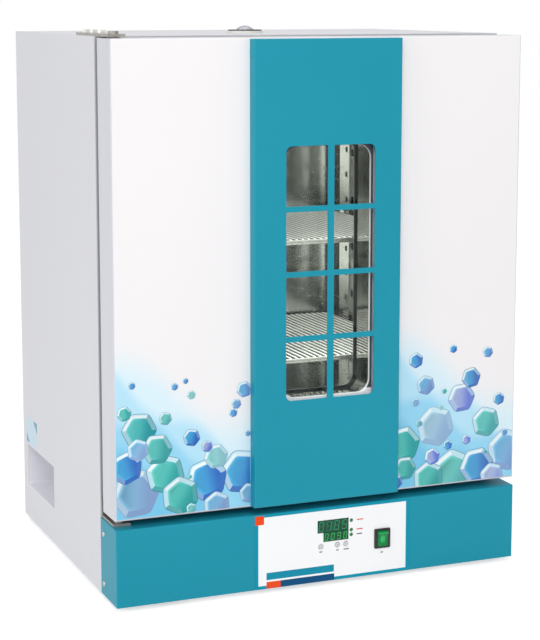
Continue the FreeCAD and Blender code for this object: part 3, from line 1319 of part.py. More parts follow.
left_side, left_grip = keep(side_panel()), keep(hand_grip())
keep(mirror_copy("side_panel_right", left_side))
keep(mirror_copy("hand_grip_right", left_grip))
for make in (top_panel, rear_panel, front_frame, bottom_plate, deck_plate, insulation_jacket,
             chamber_liner, floor_plate):
    keep(make())
left_duct, left_rack = keep(duct_panel()), keep(shelf_rack())
keep(mirror_copy("duct_panel_right", left_duct))
keep(mirror_copy("shelf_rack_right", left_rack))
keep(wire_shelf("shelf_lower", "shelf_low"))
keep(wire_shelf("shelf_upper", "shelf_low + shelf_step"))
for make in (fan_wheel, fan_shaft, fan_motor, heater_element, temperature_probe, vent_tube,
             vent_collar, vent_damper, vent_knob, door_outer_pan, door_inner_skin,
             door_insulation, centre_strip):
    keep(make())
keep(window_bezel())
tunnel_front = "door_front + sheet_gauge + pane_thickness"
tunnel_back = "door_back - liner_gauge - seal_thickness - pane_thickness"
keep(window_ring("window_tunnel", tunnel_front, f"{tunnel_back} - ({tunnel_front})",
                 "bezel_set_back + tunnel_step + liner_gauge", "bezel_set_back + tunnel_step",
                 "window_corner + liner_gauge"))
keep(window_ring("pane_seal", "door_back - liner_gauge - seal_thickness", "seal_thickness",
                 "bezel_set_back + pane_edge", "bezel_set_back", "window_corner"))
keep(pane("outer_pane", "door_front + sheet_gauge"))
keep(pane("inner_pane", tunnel_back))
keep(door_gasket())
keep(hinge_bracket("hinge_bracket_top", True))
keep(hinge_bracket("hinge_bracket_bottom", False))
for make in (hinge_bushes, hinge_bolts, door_magnets, base_front_cover, control_label,
             status_lamps, control_board, rocker_bezel, rocker, transformer, heater_relay,
             terminal_block, inlet_socket, panel_screws, rubber_feet):
    keep(make())
keep(display("display_upper", "display_x", "display_z", "display_width", "display_height"))
keep(display("display_lower", "timer_x", "timer_z", "timer_width", "timer_height"))
for name, place in KEYS.items():
    keep(key(name, place))
doc.recompute()

# Check and write every piece

for item in doc.Objects:
    if any(word in item.State for word in ("Invalid", "Error")):
        raise RuntimeError(f"{item.Label} failed: {item.State}")
os.makedirs("parts", exist_ok=True)
for node in NODES:
    shape = node.Shape
    if shape.isNull() or not shape.isValid() or not shape.Solids:
        raise RuntimeError(f"{node.Label} has no valid shape")
    shape.exportStep(f"parts/{node.Label}.step")
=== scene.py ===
"""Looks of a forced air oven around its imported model: paint, steel, glass, wires and print.

Lengths are metres in the part's frame: +Z up, the door faces -Y and its hinges are on the -X side.
"""
import json
import math

import bpy
import numpy as np
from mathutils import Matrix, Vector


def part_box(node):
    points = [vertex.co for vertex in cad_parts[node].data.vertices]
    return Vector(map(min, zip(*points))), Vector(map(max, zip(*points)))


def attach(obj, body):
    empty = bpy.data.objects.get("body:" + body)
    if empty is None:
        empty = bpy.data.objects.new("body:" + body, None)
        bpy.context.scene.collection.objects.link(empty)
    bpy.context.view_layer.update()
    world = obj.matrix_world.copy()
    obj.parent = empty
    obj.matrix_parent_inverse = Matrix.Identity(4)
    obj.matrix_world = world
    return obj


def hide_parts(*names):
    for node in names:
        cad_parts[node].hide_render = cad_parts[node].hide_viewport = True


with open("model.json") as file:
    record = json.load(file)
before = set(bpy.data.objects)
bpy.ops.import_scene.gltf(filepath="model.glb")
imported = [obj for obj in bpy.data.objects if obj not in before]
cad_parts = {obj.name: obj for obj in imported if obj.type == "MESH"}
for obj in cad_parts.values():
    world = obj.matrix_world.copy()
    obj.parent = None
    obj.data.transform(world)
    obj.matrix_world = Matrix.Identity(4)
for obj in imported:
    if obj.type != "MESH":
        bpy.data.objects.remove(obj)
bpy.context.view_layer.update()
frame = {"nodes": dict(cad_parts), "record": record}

NODES = frame["nodes"]
MM = 0.001


# Camera: the photograph's viewing angle, from the cabinet's edges in the picture


IMAGE_LONG_SIDE = 640
SENSOR = 36.0
FOCAL_PIXELS = 1770.3
PRINCIPAL_RISE = 64
CAMERA_PLACE = (-1.0397, -2.5845, 0.8671)
CAMERA_YAW = 0.3883
CAMERA_TILT = 0.1432


def camera():
    """A camera turned from +Y towards +X and tipped down, with its frame moved down a little."""
    lens = bpy.data.cameras.new("view")
    lens.sensor_width = SENSOR
    lens.lens = SENSOR * FOCAL_PIXELS / IMAGE_LONG_SIDE
    lens.shift_y = -PRINCIPAL_RISE / IMAGE_LONG_SIDE
    lens.clip_start, lens.clip_end = 0.05, 50
    holder = bpy.data.objects.new("view", lens)
    holder.location = CAMERA_PLACE
    holder.rotation_euler = (math.pi / 2 - CAMERA_TILT, 0, -CAMERA_YAW)
    bpy.context.collection.objects.link(holder)
    bpy.context.scene.camera = holder


# Shader arithmetic


def srgb(red, green, blue):
    """A linear colour from display values of 0 to 255."""
    def linear(level):
        level /= 255
        return level / 12.92 if level <= 0.04045 else ((level + 0.055) / 1.055) ** 2.4
    return (linear(red), linear(green), linear(blue), 1.0)


class Wire:
    """A shader socket that takes part in arithmetic: each operator adds one Math node."""

    def __init__(self, finish, socket):
        self.finish, self.socket = finish, socket

    def math(self, operation, *others):
        """This wire and others through one Math node."""
        values = dict(enumerate((self, *others)))
        return self.finish.add("ShaderNodeMath", {"operation": operation}, values)

    def __add__(self, other): return self.math("ADD", other)
    def __radd__(self, other): return self.math("ADD", other)
    def __sub__(self, other): return self.math("SUBTRACT", other)
    def __mul__(self, other): return self.math("MULTIPLY", other)
    def __rmul__(self, other): return self.math("MULTIPLY", other)
    def __truediv__(self, other): return self.math("DIVIDE", other)
    def __pow__(self, other): return self.math("POWER", other)
    def __gt__(self, other): return self.math("GREATER_THAN", other)
    def __lt__(self, other): return self.math("LESS_THAN", other)
    def __abs__(self): return self.math("ABSOLUTE")

    def __rsub__(self, other):
        return self.finish.add("ShaderNodeMath", {"operation": "SUBTRACT"}, {0: other, 1: self})

    def between(self, low, high):
        """1 above low and below high, else 0."""
        return (self > low) * (self < high)

    def ramp(self, low, high):
        """0 below low, 1 above high and smooth between; falls instead where low is above high."""
        return self.finish.add("ShaderNodeMapRange", {"interpolation_type": "SMOOTHSTEP"},
                               {"Value": self, "From Min": low, "From Max": high})


class Finish:
    """One material: a Principled shader, plain numbers on its sockets and what varies linked."""

    def __init__(self, name, **plain):
        self.material = bpy.data.materials.new(name)
        self.material.use_nodes = True
        self.tree = self.material.node_tree
        self.tree.nodes.clear()
        self.shader = self.tree.nodes.new("ShaderNodeBsdfPrincipled")
        self.output = self.tree.nodes.new("ShaderNodeOutputMaterial")
        self.tree.links.new(self.shader.outputs[0], self.output.inputs["Surface"])
        for socket, value in plain.items():
            self.set(self.shader, socket.replace("_", " ").title().replace("Ior", "IOR"), value)
        self.at = self.add("ShaderNodeTexCoord", output="Object")
        parts = self.tree.nodes.new("ShaderNodeSeparateXYZ")
        self.tree.links.new(self.at.socket, parts.inputs[0])
        self.x, self.y, self.z = (Wire(self, parts.outputs[axis]) for axis in range(3))

    def set(self, node, socket, value):
        """Links a wire to a node's socket, or puts a plain value on it."""
        if isinstance(value, Wire):
            self.tree.links.new(value.socket, node.inputs[socket])
        else:
            node.inputs[socket].default_value = value

    def add(self, kind, settings=None, values=None, output=0):
        """Adds a node: its settings first, then the values or links of its sockets."""
        node = self.tree.nodes.new(kind)
        for name, value in (settings or {}).items():
            if name == "stops":
                while len(node.color_ramp.elements) < len(value):
                    node.color_ramp.elements.new(0.5)
                for element, (place, colour) in zip(node.color_ramp.elements, value):
                    element.position, element.color = place, colour
            else:
                setattr(node, name, value)
        for socket, value in (values or {}).items():
            self.set(node, socket, value)
        return Wire(self, node.outputs[output])

    def feed(self, **links):
        """Sets or links sockets of the shader by their names in lower case."""
        for socket, value in links.items():
            self.set(self.shader, socket.replace("_", " ").title(), value)
        return self

    def noise(self, scale, detail=2.0, roughness=0.5, stretch=(1, 1, 1)):
        """Noise of one level per 1 / scale metres, drawn out along the axes by stretch."""
        placed = self.add("ShaderNodeMapping", None, {"Vector": self.at, "Scale": stretch})
        return self.add("ShaderNodeTexNoise", None, {
            "Vector": placed, "Scale": scale, "Detail": detail, "Roughness": roughness})

    def mix(self, share, low, high):
        """A colour mix, where share is a wire and low and high are colours or wires."""
        node = self.tree.nodes.new("ShaderNodeMix")
        node.data_type = "RGBA"
        self.set(node, 0, share)
        self.set(node, 6, low)
        self.set(node, 7, high)
        return Wire(self, node.outputs[2])

    def bump(self, height, distance, strength=1.0):
        """A bumped normal, where height is a wire and distance the real depth of a step of one."""
        return self.add("ShaderNodeBump", None, {"Height": height, "Distance": distance,
                                                 "Strength": strength})


# Finishes


def powder_coat(name, colour, shade, roughness=0.36, peel=0.00002, specular=0.35):
    """Powder-coated sheet: a faint orange peel, and tone and gloss that drift over the panel."""
    coat = Finish(name, specular_ior_level=specular)
    drift = coat.noise(3.1, 3)
    grain = coat.noise(900, 2)
    peeled = coat.noise(420, 2)
    coat.feed(base_color=coat.mix(drift, colour, shade),
              roughness=roughness + 0.07 * drift + 0.05 * grain,
              normal=coat.bump(peeled, peel))
    return coat


def brushed(name, colour, shade, roughness, along, metallic=1.0, depth=0.000006):
    """Rolled sheet metal: long fine lines along one axis and slow cloudy changes of gloss."""
    sheet = Finish(name, metallic=metallic)
    stretch = [1.0 if axis == along else 40.0 for axis in "xyz"]
    lines = sheet.noise(28, 4, 0.7, stretch)
    cloud = sheet.noise(9, 3)
    sheet.feed(base_color=sheet.mix(0.65 * lines + 0.35 * cloud, shade, colour),
               roughness=roughness + 0.10 * lines + 0.08 * cloud,
               normal=sheet.bump(lines, depth))
    return sheet


def mirror_steel(name="bright_stainless", low=(186, 186, 182), high=(222, 222, 218),
                 roughness=0.09, depth=0.0014):
    """Bright annealed stainless: a near mirror that waves upright, with smears and rolled lines."""
    steel = Finish(name, metallic=1.0)
    wave = steel.noise(16, 2, 0.5, (1, 1, 0.12))
    buckle = steel.noise(9, 2)
    smear = steel.noise(46, 4, 0.65, (1, 1, 2.2))
    steel.feed(base_color=steel.mix(smear, srgb(*low), srgb(*high)),
               roughness=roughness + 0.09 * smear.ramp(0.45, 0.75),
               normal=steel.bump(wave + 0.6 * buckle, depth))
    return steel


def plated(name="plated_steel", low=(150, 152, 158), high=(205, 203, 194), roughness=0.16):
    """Zinc or nickel plate with a slight bloom and fine pits."""
    plate = Finish(name, metallic=1.0)
    bloom = plate.noise(140, 3)
    pits = plate.noise(1800, 2)
    plate.feed(base_color=plate.mix(bloom, srgb(*low), srgb(*high)),
               roughness=roughness + 0.14 * bloom, normal=plate.bump(pits, 0.000008))
    return plate


def spangled():
    """Galvanised sheet: crystal patches with their own tone and gloss."""
    zinc = Finish("galvanised", metallic=0.85)
    warped = zinc.add("ShaderNodeTexVoronoi", None, {"Vector": zinc.at, "Scale": 75.0}, "Color")
    flake = zinc.add("ShaderNodeSeparateColor", None, {0: warped})
    zinc.feed(base_color=zinc.mix(flake, srgb(142, 148, 154), srgb(188, 192, 196)),
              roughness=0.34 + 0.22 * flake, normal=zinc.bump(flake, 0.00001))
    return zinc


def moulded(name, colour, roughness=0.5, grain=0.00004, scale=1500):
    """Moulded plastic or rubber with a fine spark-eroded grain."""
    plastic = Finish(name)
    texture = plastic.noise(scale, 2)
    drift = plastic.noise(60, 2)
    darker = tuple(0.72 * level for level in colour[:3]) + (1.0,)
    plastic.feed(base_color=plastic.mix(drift, darker, colour),
                 roughness=roughness + 0.12 * texture, normal=plastic.bump(texture, grain))
    return plastic


def clear_glass():
    """A flat pane: what is behind it shows through, under a reflection that grows at low angles."""
    pane = Finish("pane_glass", base_color=srgb(235, 242, 240), metallic=1.0)
    smear = pane.noise(60, 3)
    pane.feed(roughness=0.02 + 0.05 * smear)
    through = pane.tree.nodes.new("ShaderNodeBsdfTransparent")
    through.inputs["Color"].default_value = srgb(247, 249, 248)
    shine = pane.add("ShaderNodeFresnel", None, {"IOR": 1.5})
    blend = pane.tree.nodes.new("ShaderNodeMixShader")
    pane.set(blend, 0, shine * (0.26 + 0.08 * smear))
    pane.tree.links.new(through.outputs[0], blend.inputs[1])
    pane.tree.links.new(pane.shader.outputs[0], blend.inputs[2])
    pane.tree.links.new(blend.outputs[0], pane.output.inputs["Surface"])
    return pane


def wool():
    """Mineral wool: matted fibres in straw and brown."""
    felt = Finish("mineral_wool", roughness=0.95)
    fibres = felt.noise(160, 5, 0.75, (1, 6, 1))
    clumps = felt.noise(45, 3)
    felt.feed(base_color=felt.mix(0.6 * fibres + 0.4 * clumps, srgb(150, 128, 84),
                                  srgb(226, 212, 170)),
              normal=felt.bump(fibres + clumps, 0.0012))
    return felt


def heat_tinted():
    """A heater sheath darkened by use, with straw and blue bands."""
    sheath = Finish("heater_sheath", metallic=0.8)
    tint = sheath.noise(30, 3)
    bands = sheath.add("ShaderNodeValToRGB", {"stops": [
        (0.0, srgb(52, 46, 44)), (0.45, srgb(92, 78, 62)), (0.6, srgb(120, 92, 60)),
        (1.0, srgb(66, 66, 84))]}, {0: tint})
    sheath.feed(base_color=bands, roughness=0.42 + 0.2 * tint)
    return sheath


def circuit_board():
    """Green solder mask over tracks that show as slightly raised lighter lines."""
    board = Finish("board_green", coat_weight=0.3)
    rows = (board.z * 180).math("PINGPONG", 0.5).ramp(0.28, 0.32)
    columns = (board.x * 140).math("PINGPONG", 0.5).ramp(0.30, 0.34)
    patch = board.noise(55, 1).ramp(0.48, 0.5)
    tracks = rows * patch + columns * (1 - patch)
    board.feed(base_color=board.mix(tracks, srgb(14, 78, 44), srgb(40, 124, 72)),
               roughness=0.38 + 0.1 * tracks, normal=board.bump(tracks, 0.00004))
    return board


def laminated():
    """The transformer: stacked sheet edges with a varnish sheen, and a taped coil between them."""
    core = Finish("core_steel", metallic=0.5)
    sheets = (core.y * 1400).math("PINGPONG", 0.5)
    blotch = core.noise(90, 3)
    core.feed(base_color=core.mix(0.5 * sheets + 0.5 * blotch, srgb(38, 36, 36), srgb(96, 84, 70)),
              roughness=0.45 + 0.2 * blotch, normal=core.bump(sheets, 0.0001))
    return core


CELL_POWER = 14
HUE_SPLIT = 0.66
HALF_ROOT = math.sqrt(3) / 2


def printed_door():
    """Gloss white enamel whose foot carries pale sky-blue waves, deeper towards the hinge side;
    every face of the pan but its front, and the front's side and foot edges, get a greyer copy of
    the white as painted shade.
    """
    art = Finish("door_print", specular_ior_level=0.4)
    box_low, box_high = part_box("door_outer_pan")
    foot = box_low.z
    drift = art.noise(3, 2)
    right_half = art.x > 0
    across = art.x - box_low.x - right_half * (box_high.x + 116 * MM)
    colour = art.mix(drift, srgb(241, 239, 240), srgb(244, 242, 243))
    waves = [(0.268, 0.07, 0.60, (214, 240, 250)), (0.222, 0.03, 0.72, (178, 226, 247)),
             (0.168, 0.025, 0.55, (144, 212, 241)), (0.112, 0.03, 0.50, (114, 196, 232))]
    for index, (level, fade, fall, shade) in enumerate(waves):
        swell = (across * (34 + 9 * index) + 2.3 * index).math("SINE") * 0.014
        depth = (art.z - foot - level + fall * across - swell).ramp(0.0, -fade)
        colour = art.mix(depth * 0.9, colour, srgb(*shade))
    # Painted shade: off the front face, and along its side and bottom edges, the white gives way to
    # the greyer side colour.
    front = (art.y < box_low.y + 1.2 * MM) * (art.z - foot - 2.5 * MM).ramp(0.0, 0.0006)
    inner = front * abs(art.x).ramp(box_high.x - 1.5 * MM, box_high.x - 2.1 * MM)
    side = art.mix(drift, srgb(203, 204, 212), srgb(209, 210, 217))
    enamel = art.noise(300, 2)
    art.feed(base_color=art.mix(inner, side, colour),
             roughness=0.26 + 0.06 * drift, normal=art.bump(enamel, 0.00001))
    return art


def printed_cells():
    """Translucent inks of the door print: each hexagon has a flat centre and six bevels.

    The attribute place holds a point's place in its own hexagon and kind its hue, depth of ink
    and fade. The bevel is the face direction that a point lies furthest along, and each bevel is
    lighter the more it faces the upper left.
    """
    ink = Finish("print_cells", specular_ior_level=0.4, roughness=0.28)

    def attribute(name):
        vector = ink.add("ShaderNodeAttribute", {"attribute_name": name}, None, "Vector")
        parts = ink.tree.nodes.new("ShaderNodeSeparateXYZ")
        ink.tree.links.new(vector.socket, parts.inputs[0])
        return [Wire(ink, parts.outputs[axis]) for axis in range(3)]

    u, v, turned_by = attribute("place")
    hue, strength, fade = attribute("kind")
    sides = (u, 0.5 * u + HALF_ROOT * v, 0.5 * u - HALF_ROOT * v)
    sizes = [abs(side) for side in sides]
    powers = [size ** CELL_POWER for size in sizes]
    distance = (powers[0] + powers[1] + powers[2]) ** (1 / CELL_POWER)
    bevel = 0
    for index, angle in enumerate((0, 60, -60)):
        others = [sizes[other] for other in range(3) if other != index]
        largest = (sizes[index] > others[0]) * (sizes[index] > others[1])
        facing = (turned_by + math.radians(angle - 128)).math("COSINE")
        bevel = largest * sides[index].math("SIGN") * facing + bevel
    slope = (0.6 * v - 0.8 * u) * 0.5 + 0.5
    clear = slope.ramp(0.4, 0.95) * distance.ramp(0.72, 0.5)
    deep = ink.mix(hue.ramp(HUE_SPLIT, HUE_SPLIT + 0.04), srgb(12, 98, 188), srgb(8, 158, 158))
    deep = ink.mix(hue.ramp(0.90, 0.93), deep, srgb(84, 104, 208))
    pale = ink.mix(hue.ramp(HUE_SPLIT, HUE_SPLIT + 0.04), srgb(74, 192, 242), srgb(104, 224, 210))
    pale = ink.mix(hue.ramp(0.90, 0.93), pale, srgb(190, 204, 242))
    centre = ink.mix(slope.ramp(0.12, 0.9), deep, pale)
    edge = ink.mix((bevel * 0.5 + 0.5).ramp(0.05, 0.95), deep, srgb(206, 240, 252))
    cell = ink.mix(distance.ramp(0.70, 0.73), centre, edge)
    rim = distance.ramp(0.955, 0.975)
    line = ink.mix(hue, srgb(22, 74, 156), srgb(28, 110, 130))
    glint = distance.between(0.77, 0.88) * bevel.ramp(0.55, 0.85)
    cell = ink.mix(rim * 0.8, ink.mix(glint * 0.95, cell, srgb(253, 255, 255)), line)
    cell = ink.mix(fade, cell, srgb(216, 242, 252))
    ink.feed(base_color=cell, alpha=strength * (1 - 0.62 * clear))
    return ink


LABEL_BLOCKS = [
    ((5.2, 246.2), (4.8, 108.6), (254, 254, 255)), ((0.0, 14.1), (97.8, 111.4), (244, 78, 28)),
    ((18.0, 126.8), (13.0, 23.9), (16, 144, 172)), ((18.0, 40.7), (0.1, 10.1), (244, 78, 28)),
    ((40.7, 127.4), (0.1, 10.1), (0, 78, 126)),
]


def printed_label():
    """Polycarbonate overlay: blocks of colour, in millimetres from its lower left corner."""
    film = Finish("label_film", specular_ior_level=0.16)
    low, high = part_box("control_label")
    across, up = (film.x - low.x) / MM, (film.z - low.z) / MM
    fleck = film.noise(1400, 2)
    colour = film.mix(fleck, srgb(0, 148, 174), srgb(4, 154, 180))
    for (left, right), (bottom, top), shade in LABEL_BLOCKS:
        colour = film.mix(across.between(left, right) * up.between(bottom, top), colour,
                          srgb(*shade))
    film.feed(base_color=colour, roughness=0.30 + 0.06 * fleck,
              normal=film.bump(fleck, 0.000004))
    return film


def display_window(name, low, high):
    """A tinted window over a dark module whose lit figures tint it unevenly."""
    pane = Finish(name, specular_ior_level=0.3, emission_strength=0.12)
    cloud = pane.noise(160, 2)
    colour = pane.mix(cloud.ramp(0.3, 0.7), srgb(*low), srgb(*high))
    pane.feed(base_color=colour, emission_color=colour, roughness=0.22 + 0.06 * cloud)
    return pane


def lit(name, low, high, strength):
    """A lit plastic lens, brighter in blotches where the lamp behind it is near."""
    lens = Finish(name, specular_ior_level=0.35, emission_strength=strength)
    blotch = lens.noise(260, 2)
    colour = lens.mix(blotch, srgb(*low), srgb(*high))
    lens.feed(base_color=colour, emission_color=colour, roughness=0.2 + 0.1 * blotch)
    return lens


def rocker_lens():
    """The rocker's tinted cap: painted shade on its side walls, in a band below the top end and at
    its foot, a painted highlight across the top end, and a glow over the lamp.
    """
    cap = Finish("rocker_green", specular_ior_level=0.3, emission_strength=0.1)
    low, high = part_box("power_rocker")
    across = (cap.x - (low.x + high.x) / 2) / (high.x - low.x) * 2
    up = (cap.z - (low.z + high.z) / 2) / (high.z - low.z) * 2
    haze = cap.noise(500, 2)
    glow = (across * across * 1.6 + up * up).ramp(0.5, 0.0)
    colour = cap.mix(glow * (0.7 + 0.3 * haze), srgb(0, 122, 58), srgb(44, 186, 112))
    # Painted highlight: a lighter band across the top end.
    colour = cap.mix(up.ramp(0.66, 0.74) * 0.75, colour, srgb(40, 176, 96))
    # Painted shade: darker side walls.
    colour = cap.mix(abs(across).ramp(0.8, 1.0) * 0.6, colour, srgb(0, 84, 40))
    # Painted shade: a dark band below the top end and at the foot.
    colour = cap.mix((up.between(0.60, 0.66) + up.ramp(-0.86, -0.96)) * 0.7, colour,
                     srgb(0, 84, 40))
    cap.feed(base_color=colour, emission_color=colour, roughness=0.22 + 0.1 * haze)
    return cap


def window_frame():
    """The white window frame, whose front lip is slate grey as painted shade, except along its foot
    where it stays white.
    """
    frame_coat = Finish("bezel_white", specular_ior_level=0.4)
    low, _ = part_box("window_bezel")
    fleck = frame_coat.noise(500, 2)
    # Painted shade: the front 3.2 mm of the frame turns slate grey, except within 24 mm of its
    # foot.
    rear = (frame_coat.y - low.y).ramp(3.2 * MM, 3.6 * MM)
    foot = (frame_coat.z - low.z).ramp(26 * MM, 24 * MM)
    white = frame_coat.mix(fleck, srgb(240, 241, 244), srgb(248, 248, 250))
    frame_coat.feed(base_color=frame_coat.mix(1 - (1 - rear) * (1 - foot), srgb(62, 68, 78), white),
                    roughness=0.34 + 0.06 * fleck, normal=frame_coat.bump(fleck, 0.00001))
    return frame_coat


def sticker_film():
    """A bare pale sticker with a darker wedge in two corners, by its own height and depth."""
    film = Finish("sticker_film", specular_ior_level=0.4)
    along, up = (film.y - STICKER[1]) / (33 * MM), (film.z - STICKER[2]) / (21 * MM)
    mist = film.noise(70, 3)
    colour = film.mix(mist, srgb(178, 212, 226), srgb(206, 224, 232))
    colour = film.mix((up * 0.8 - along) > 1.15, colour, srgb(70, 148, 168))
    colour = film.mix((along - up * 0.8) > 1.2, colour, srgb(84, 156, 196))
    film.feed(base_color=colour, roughness=0.34 + 0.08 * mist)
    return film


STICKER = (-322 * MM, 211.2 * MM, 159.8 * MM)

FINISHES = {
    "cabinet_paint": powder_coat("cabinet_paint", srgb(213, 214, 219), srgb(219, 220, 224)),
    "teal_paint": powder_coat("teal_paint", srgb(18, 143, 166), srgb(27, 152, 174), 0.40,
                              specular=0.22),
    "stainless": brushed("stainless", srgb(208, 208, 204), srgb(168, 168, 164), 0.24, "z"),
    "bright_stainless": mirror_steel(),
    "plated_steel": plated(),
    "galvanised": spangled(),
    "glass": clear_glass(),
    "seal_rubber": moulded("seal_rubber", srgb(26, 26, 28), 0.6),
    "gasket_silicone": moulded("gasket_silicone", srgb(120, 124, 132), 0.65, 0.0001, 700),
    "foot_rubber": moulded("foot_rubber", srgb(34, 34, 36), 0.7, 0.0001, 900),
    "wool": wool(),
    "motor_paint": powder_coat("motor_paint", srgb(44, 46, 50), srgb(58, 60, 64), 0.45, 0.0001),
    "heater_sheath": heat_tinted(),
    "wheel_steel": brushed("wheel_steel", srgb(206, 208, 212), srgb(150, 152, 156), 0.3, "x"),
    "black_plastic": moulded("black_plastic", srgb(30, 30, 32), 0.42),
    "bush_plastic": moulded("bush_plastic", srgb(228, 224, 212), 0.45),
    "board_green": circuit_board(),
    "core_steel": laminated(),
    "door_paint": printed_door(),
    "label_film": printed_label(),
    "display_green": display_window("display_green", (0, 62, 40), (0, 88, 58)),
    "lamp_green": lit("lamp_green", (0, 104, 52), (8, 136, 72), 0.1),
    "rocker_green": rocker_lens(),
    "key_white": moulded("key_white", srgb(236, 237, 239), 0.32, 0.00001),
    "bezel_white": window_frame(),
}
# Painted light: a lighter copy of the cabinet paint for the hand recesses, lifting the shade inside
# them.
GRIP_COAT_PAINTED_LIGHT = powder_coat("grip_coat_painted_light", srgb(226, 227, 234), srgb(232, 233, 238), 0.4)
NODE_FINISHES = {
    "vent_collar": powder_coat("vent_collar_coat", srgb(214, 214, 210), srgb(226, 226, 222), 0.4),
    "vent_damper": plated("damper_steel", (74, 74, 76), (128, 126, 122), 0.34),
    "vent_knob": plated("knob_chrome", (150, 150, 158), (188, 188, 194), 0.12),
    "hinge_bracket_bottom": plated("dull_zinc", (136, 134, 132), (186, 183, 178), 0.38),
    "hinge_bracket_top": plated("hinge_zinc", (112, 106, 100), (190, 186, 178), 0.26),
    "hinge_bolts": plated("bolt_zinc", (206, 206, 200), (240, 238, 230), 0.14),
    "hand_grip_left": GRIP_COAT_PAINTED_LIGHT,
    "hand_grip_right": GRIP_COAT_PAINTED_LIGHT,
    "front_frame": powder_coat("frame_coat", srgb(166, 168, 176), srgb(176, 178, 186), 0.4),
    "chamber_liner": mirror_steel("liner_steel", (142, 144, 140), (182, 183, 179), 0.2, 0.001),
    "window_tunnel": mirror_steel("tunnel_steel", (190, 190, 186), (214, 214, 210), 0.02, 0.0003),
}


def dress_nodes():
    """Gives every node of the model the finish of its material slot."""
    for row in frame["record"]["subparts"]:
        node = NODES[row["node"]]
        node.data.materials.clear()
        finish = NODE_FINISHES.get(row["node"], FINISHES[row["material_slot"]])
        node.data.materials.append(finish.material)


# Surfaces from arrays


def skin(rings, closed_path=False):
    """Vertices and faces of a skin over rings, an array (rings, points, 3); open ends get a cap."""
    count, around = rings.shape[:2]
    index = np.arange(count * around).reshape(count, around)
    if closed_path:
        index = np.vstack([index, index[:1]])
    here, there = index[:-1], index[1:]
    quads = np.stack([here, np.roll(here, -1, 1), np.roll(there, -1, 1), there], -1)
    faces = [tuple(face) for face in quads.reshape(-1, 4).tolist()]
    if not closed_path:
        faces += [tuple(index[0, ::-1].tolist()), tuple(index[-1].tolist())]
    return rings.reshape(-1, 3), faces


def copies(shape, offsets):
    """The same vertices and faces at many offsets, an array (copies, 3)."""
    points, faces = shape
    offsets = np.asarray(offsets, float)
    moved = (points[None] + offsets[:, None]).reshape(-1, 3)
    step = len(points)
    return moved, [tuple(i + step * turn for i in face)
                   for turn in range(len(offsets)) for face in faces]


def joined(shapes):
    """Several shapes as one list of vertices and one of faces."""
    points, faces, start = [], [], 0
    for some_points, some_faces in shapes:
        points.append(some_points)
        faces += [tuple(i + start for i in face) for face in some_faces]
        start += len(some_points)
    return np.vstack(points), faces


def piece(name, shape, finish, body, slot, *replaced, smooth=True):
    """A mesh object with its faces turned outwards, riding on a body."""
    points, faces = shape
    mesh = bpy.data.meshes.new(name)
    mesh.from_pydata(np.asarray(points).tolist(), [], faces)
    mesh.materials.append(finish.material)
    mesh.polygons.foreach_set("use_smooth", np.full(len(mesh.polygons), smooth))
    mesh.update()
    thing = bpy.data.objects.new(name, mesh)
    bpy.context.collection.objects.link(thing)
    bpy.context.view_layer.objects.active = thing
    thing.select_set(True)
    bpy.ops.object.mode_set(mode="EDIT")
    bpy.ops.mesh.select_all(action="SELECT")
    bpy.ops.mesh.normals_make_consistent(inside=False)
    bpy.ops.object.mode_set(mode="OBJECT")
    if smooth:
        bpy.ops.object.shade_smooth_by_angle(angle=math.radians(38))
    thing.select_set(False)
    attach(thing, body)
    if replaced:
        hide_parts(*replaced)
    return thing


AXES = {"x": (1, 2, 0), "y": (2, 0, 1), "z": (0, 1, 2)}


def laid(flat_u, flat_v, height, along, centre):
    """Points from two flat coordinates and a height along an axis through a centre."""
    order = AXES[along]
    points = np.empty(np.broadcast(flat_u, flat_v, height).shape + (3,))
    for axis, values in zip(order, (flat_u, flat_v, height)):
        points[..., axis] = values
    return points + np.asarray(centre, float)


def turned(profile, centre, along="z", sides=48):
    """A profile of (radius, height) pairs turned about an axis: rings r cos t, r sin t, height."""
    profile = np.asarray(profile, float)
    turn = np.linspace(0, 2 * math.pi, sides, endpoint=False)
    radius, height = profile[:, :1], profile[:, 1:]
    rings = laid(radius * np.cos(turn), radius * np.sin(turn), height + 0 * turn, along, centre)
    return skin(rings)


def tube(path, radius, up, sides=10, ends=True):
    """A round rod along a path in a plane with the normal up: the path plus radius times the
    cosine of the side vector and the sine of up, with its ends drawn in over a quarter round."""
    path, up = np.asarray(path, float), np.asarray(up, float)
    ahead = np.gradient(path, axis=0)
    ahead /= np.linalg.norm(ahead, axis=1, keepdims=True)
    beside = np.cross(ahead, up)
    beside /= np.linalg.norm(beside, axis=1, keepdims=True)
    width = np.full(len(path), radius)
    if ends:
        t = np.radians([80, 50, 20])
        head = path[0] + radius * np.outer(1 - np.sin(t), ahead[0])
        tail = path[-1] - radius * np.outer(1 - np.sin(t[::-1]), ahead[-1])
        path = np.vstack([head, path[1:-1], tail])
        beside = np.vstack([beside[[0] * 3], beside[1:-1], beside[[-1] * 3]])
        width = np.concatenate([radius * np.cos(t), width[1:-1], radius * np.cos(t[::-1])])
    turn = np.linspace(0, 2 * math.pi, sides, endpoint=False)[None, :, None]
    rings = (path[:, None] + width[:, None, None]
             * (np.cos(turn) * beside[:, None] + np.sin(turn) * up))
    return skin(rings)


def rounded_outline(width, height, radius, steps=6):
    """Points round a rectangle whose corners are quarter circles, centred on nothing."""
    radius = min(radius, width / 2, height / 2)
    turn = np.linspace(0, math.pi / 2, steps)
    corner = radius * np.stack([np.cos(turn), np.sin(turn)], 1)
    inner = np.array([width / 2 - radius, height / 2 - radius])
    parts = [corner + inner, corner[::-1] * (-1, 1) + inner * (-1, 1),
             -corner - inner, corner[::-1] * (1, -1) + inner * (1, -1)]
    return np.vstack(parts)


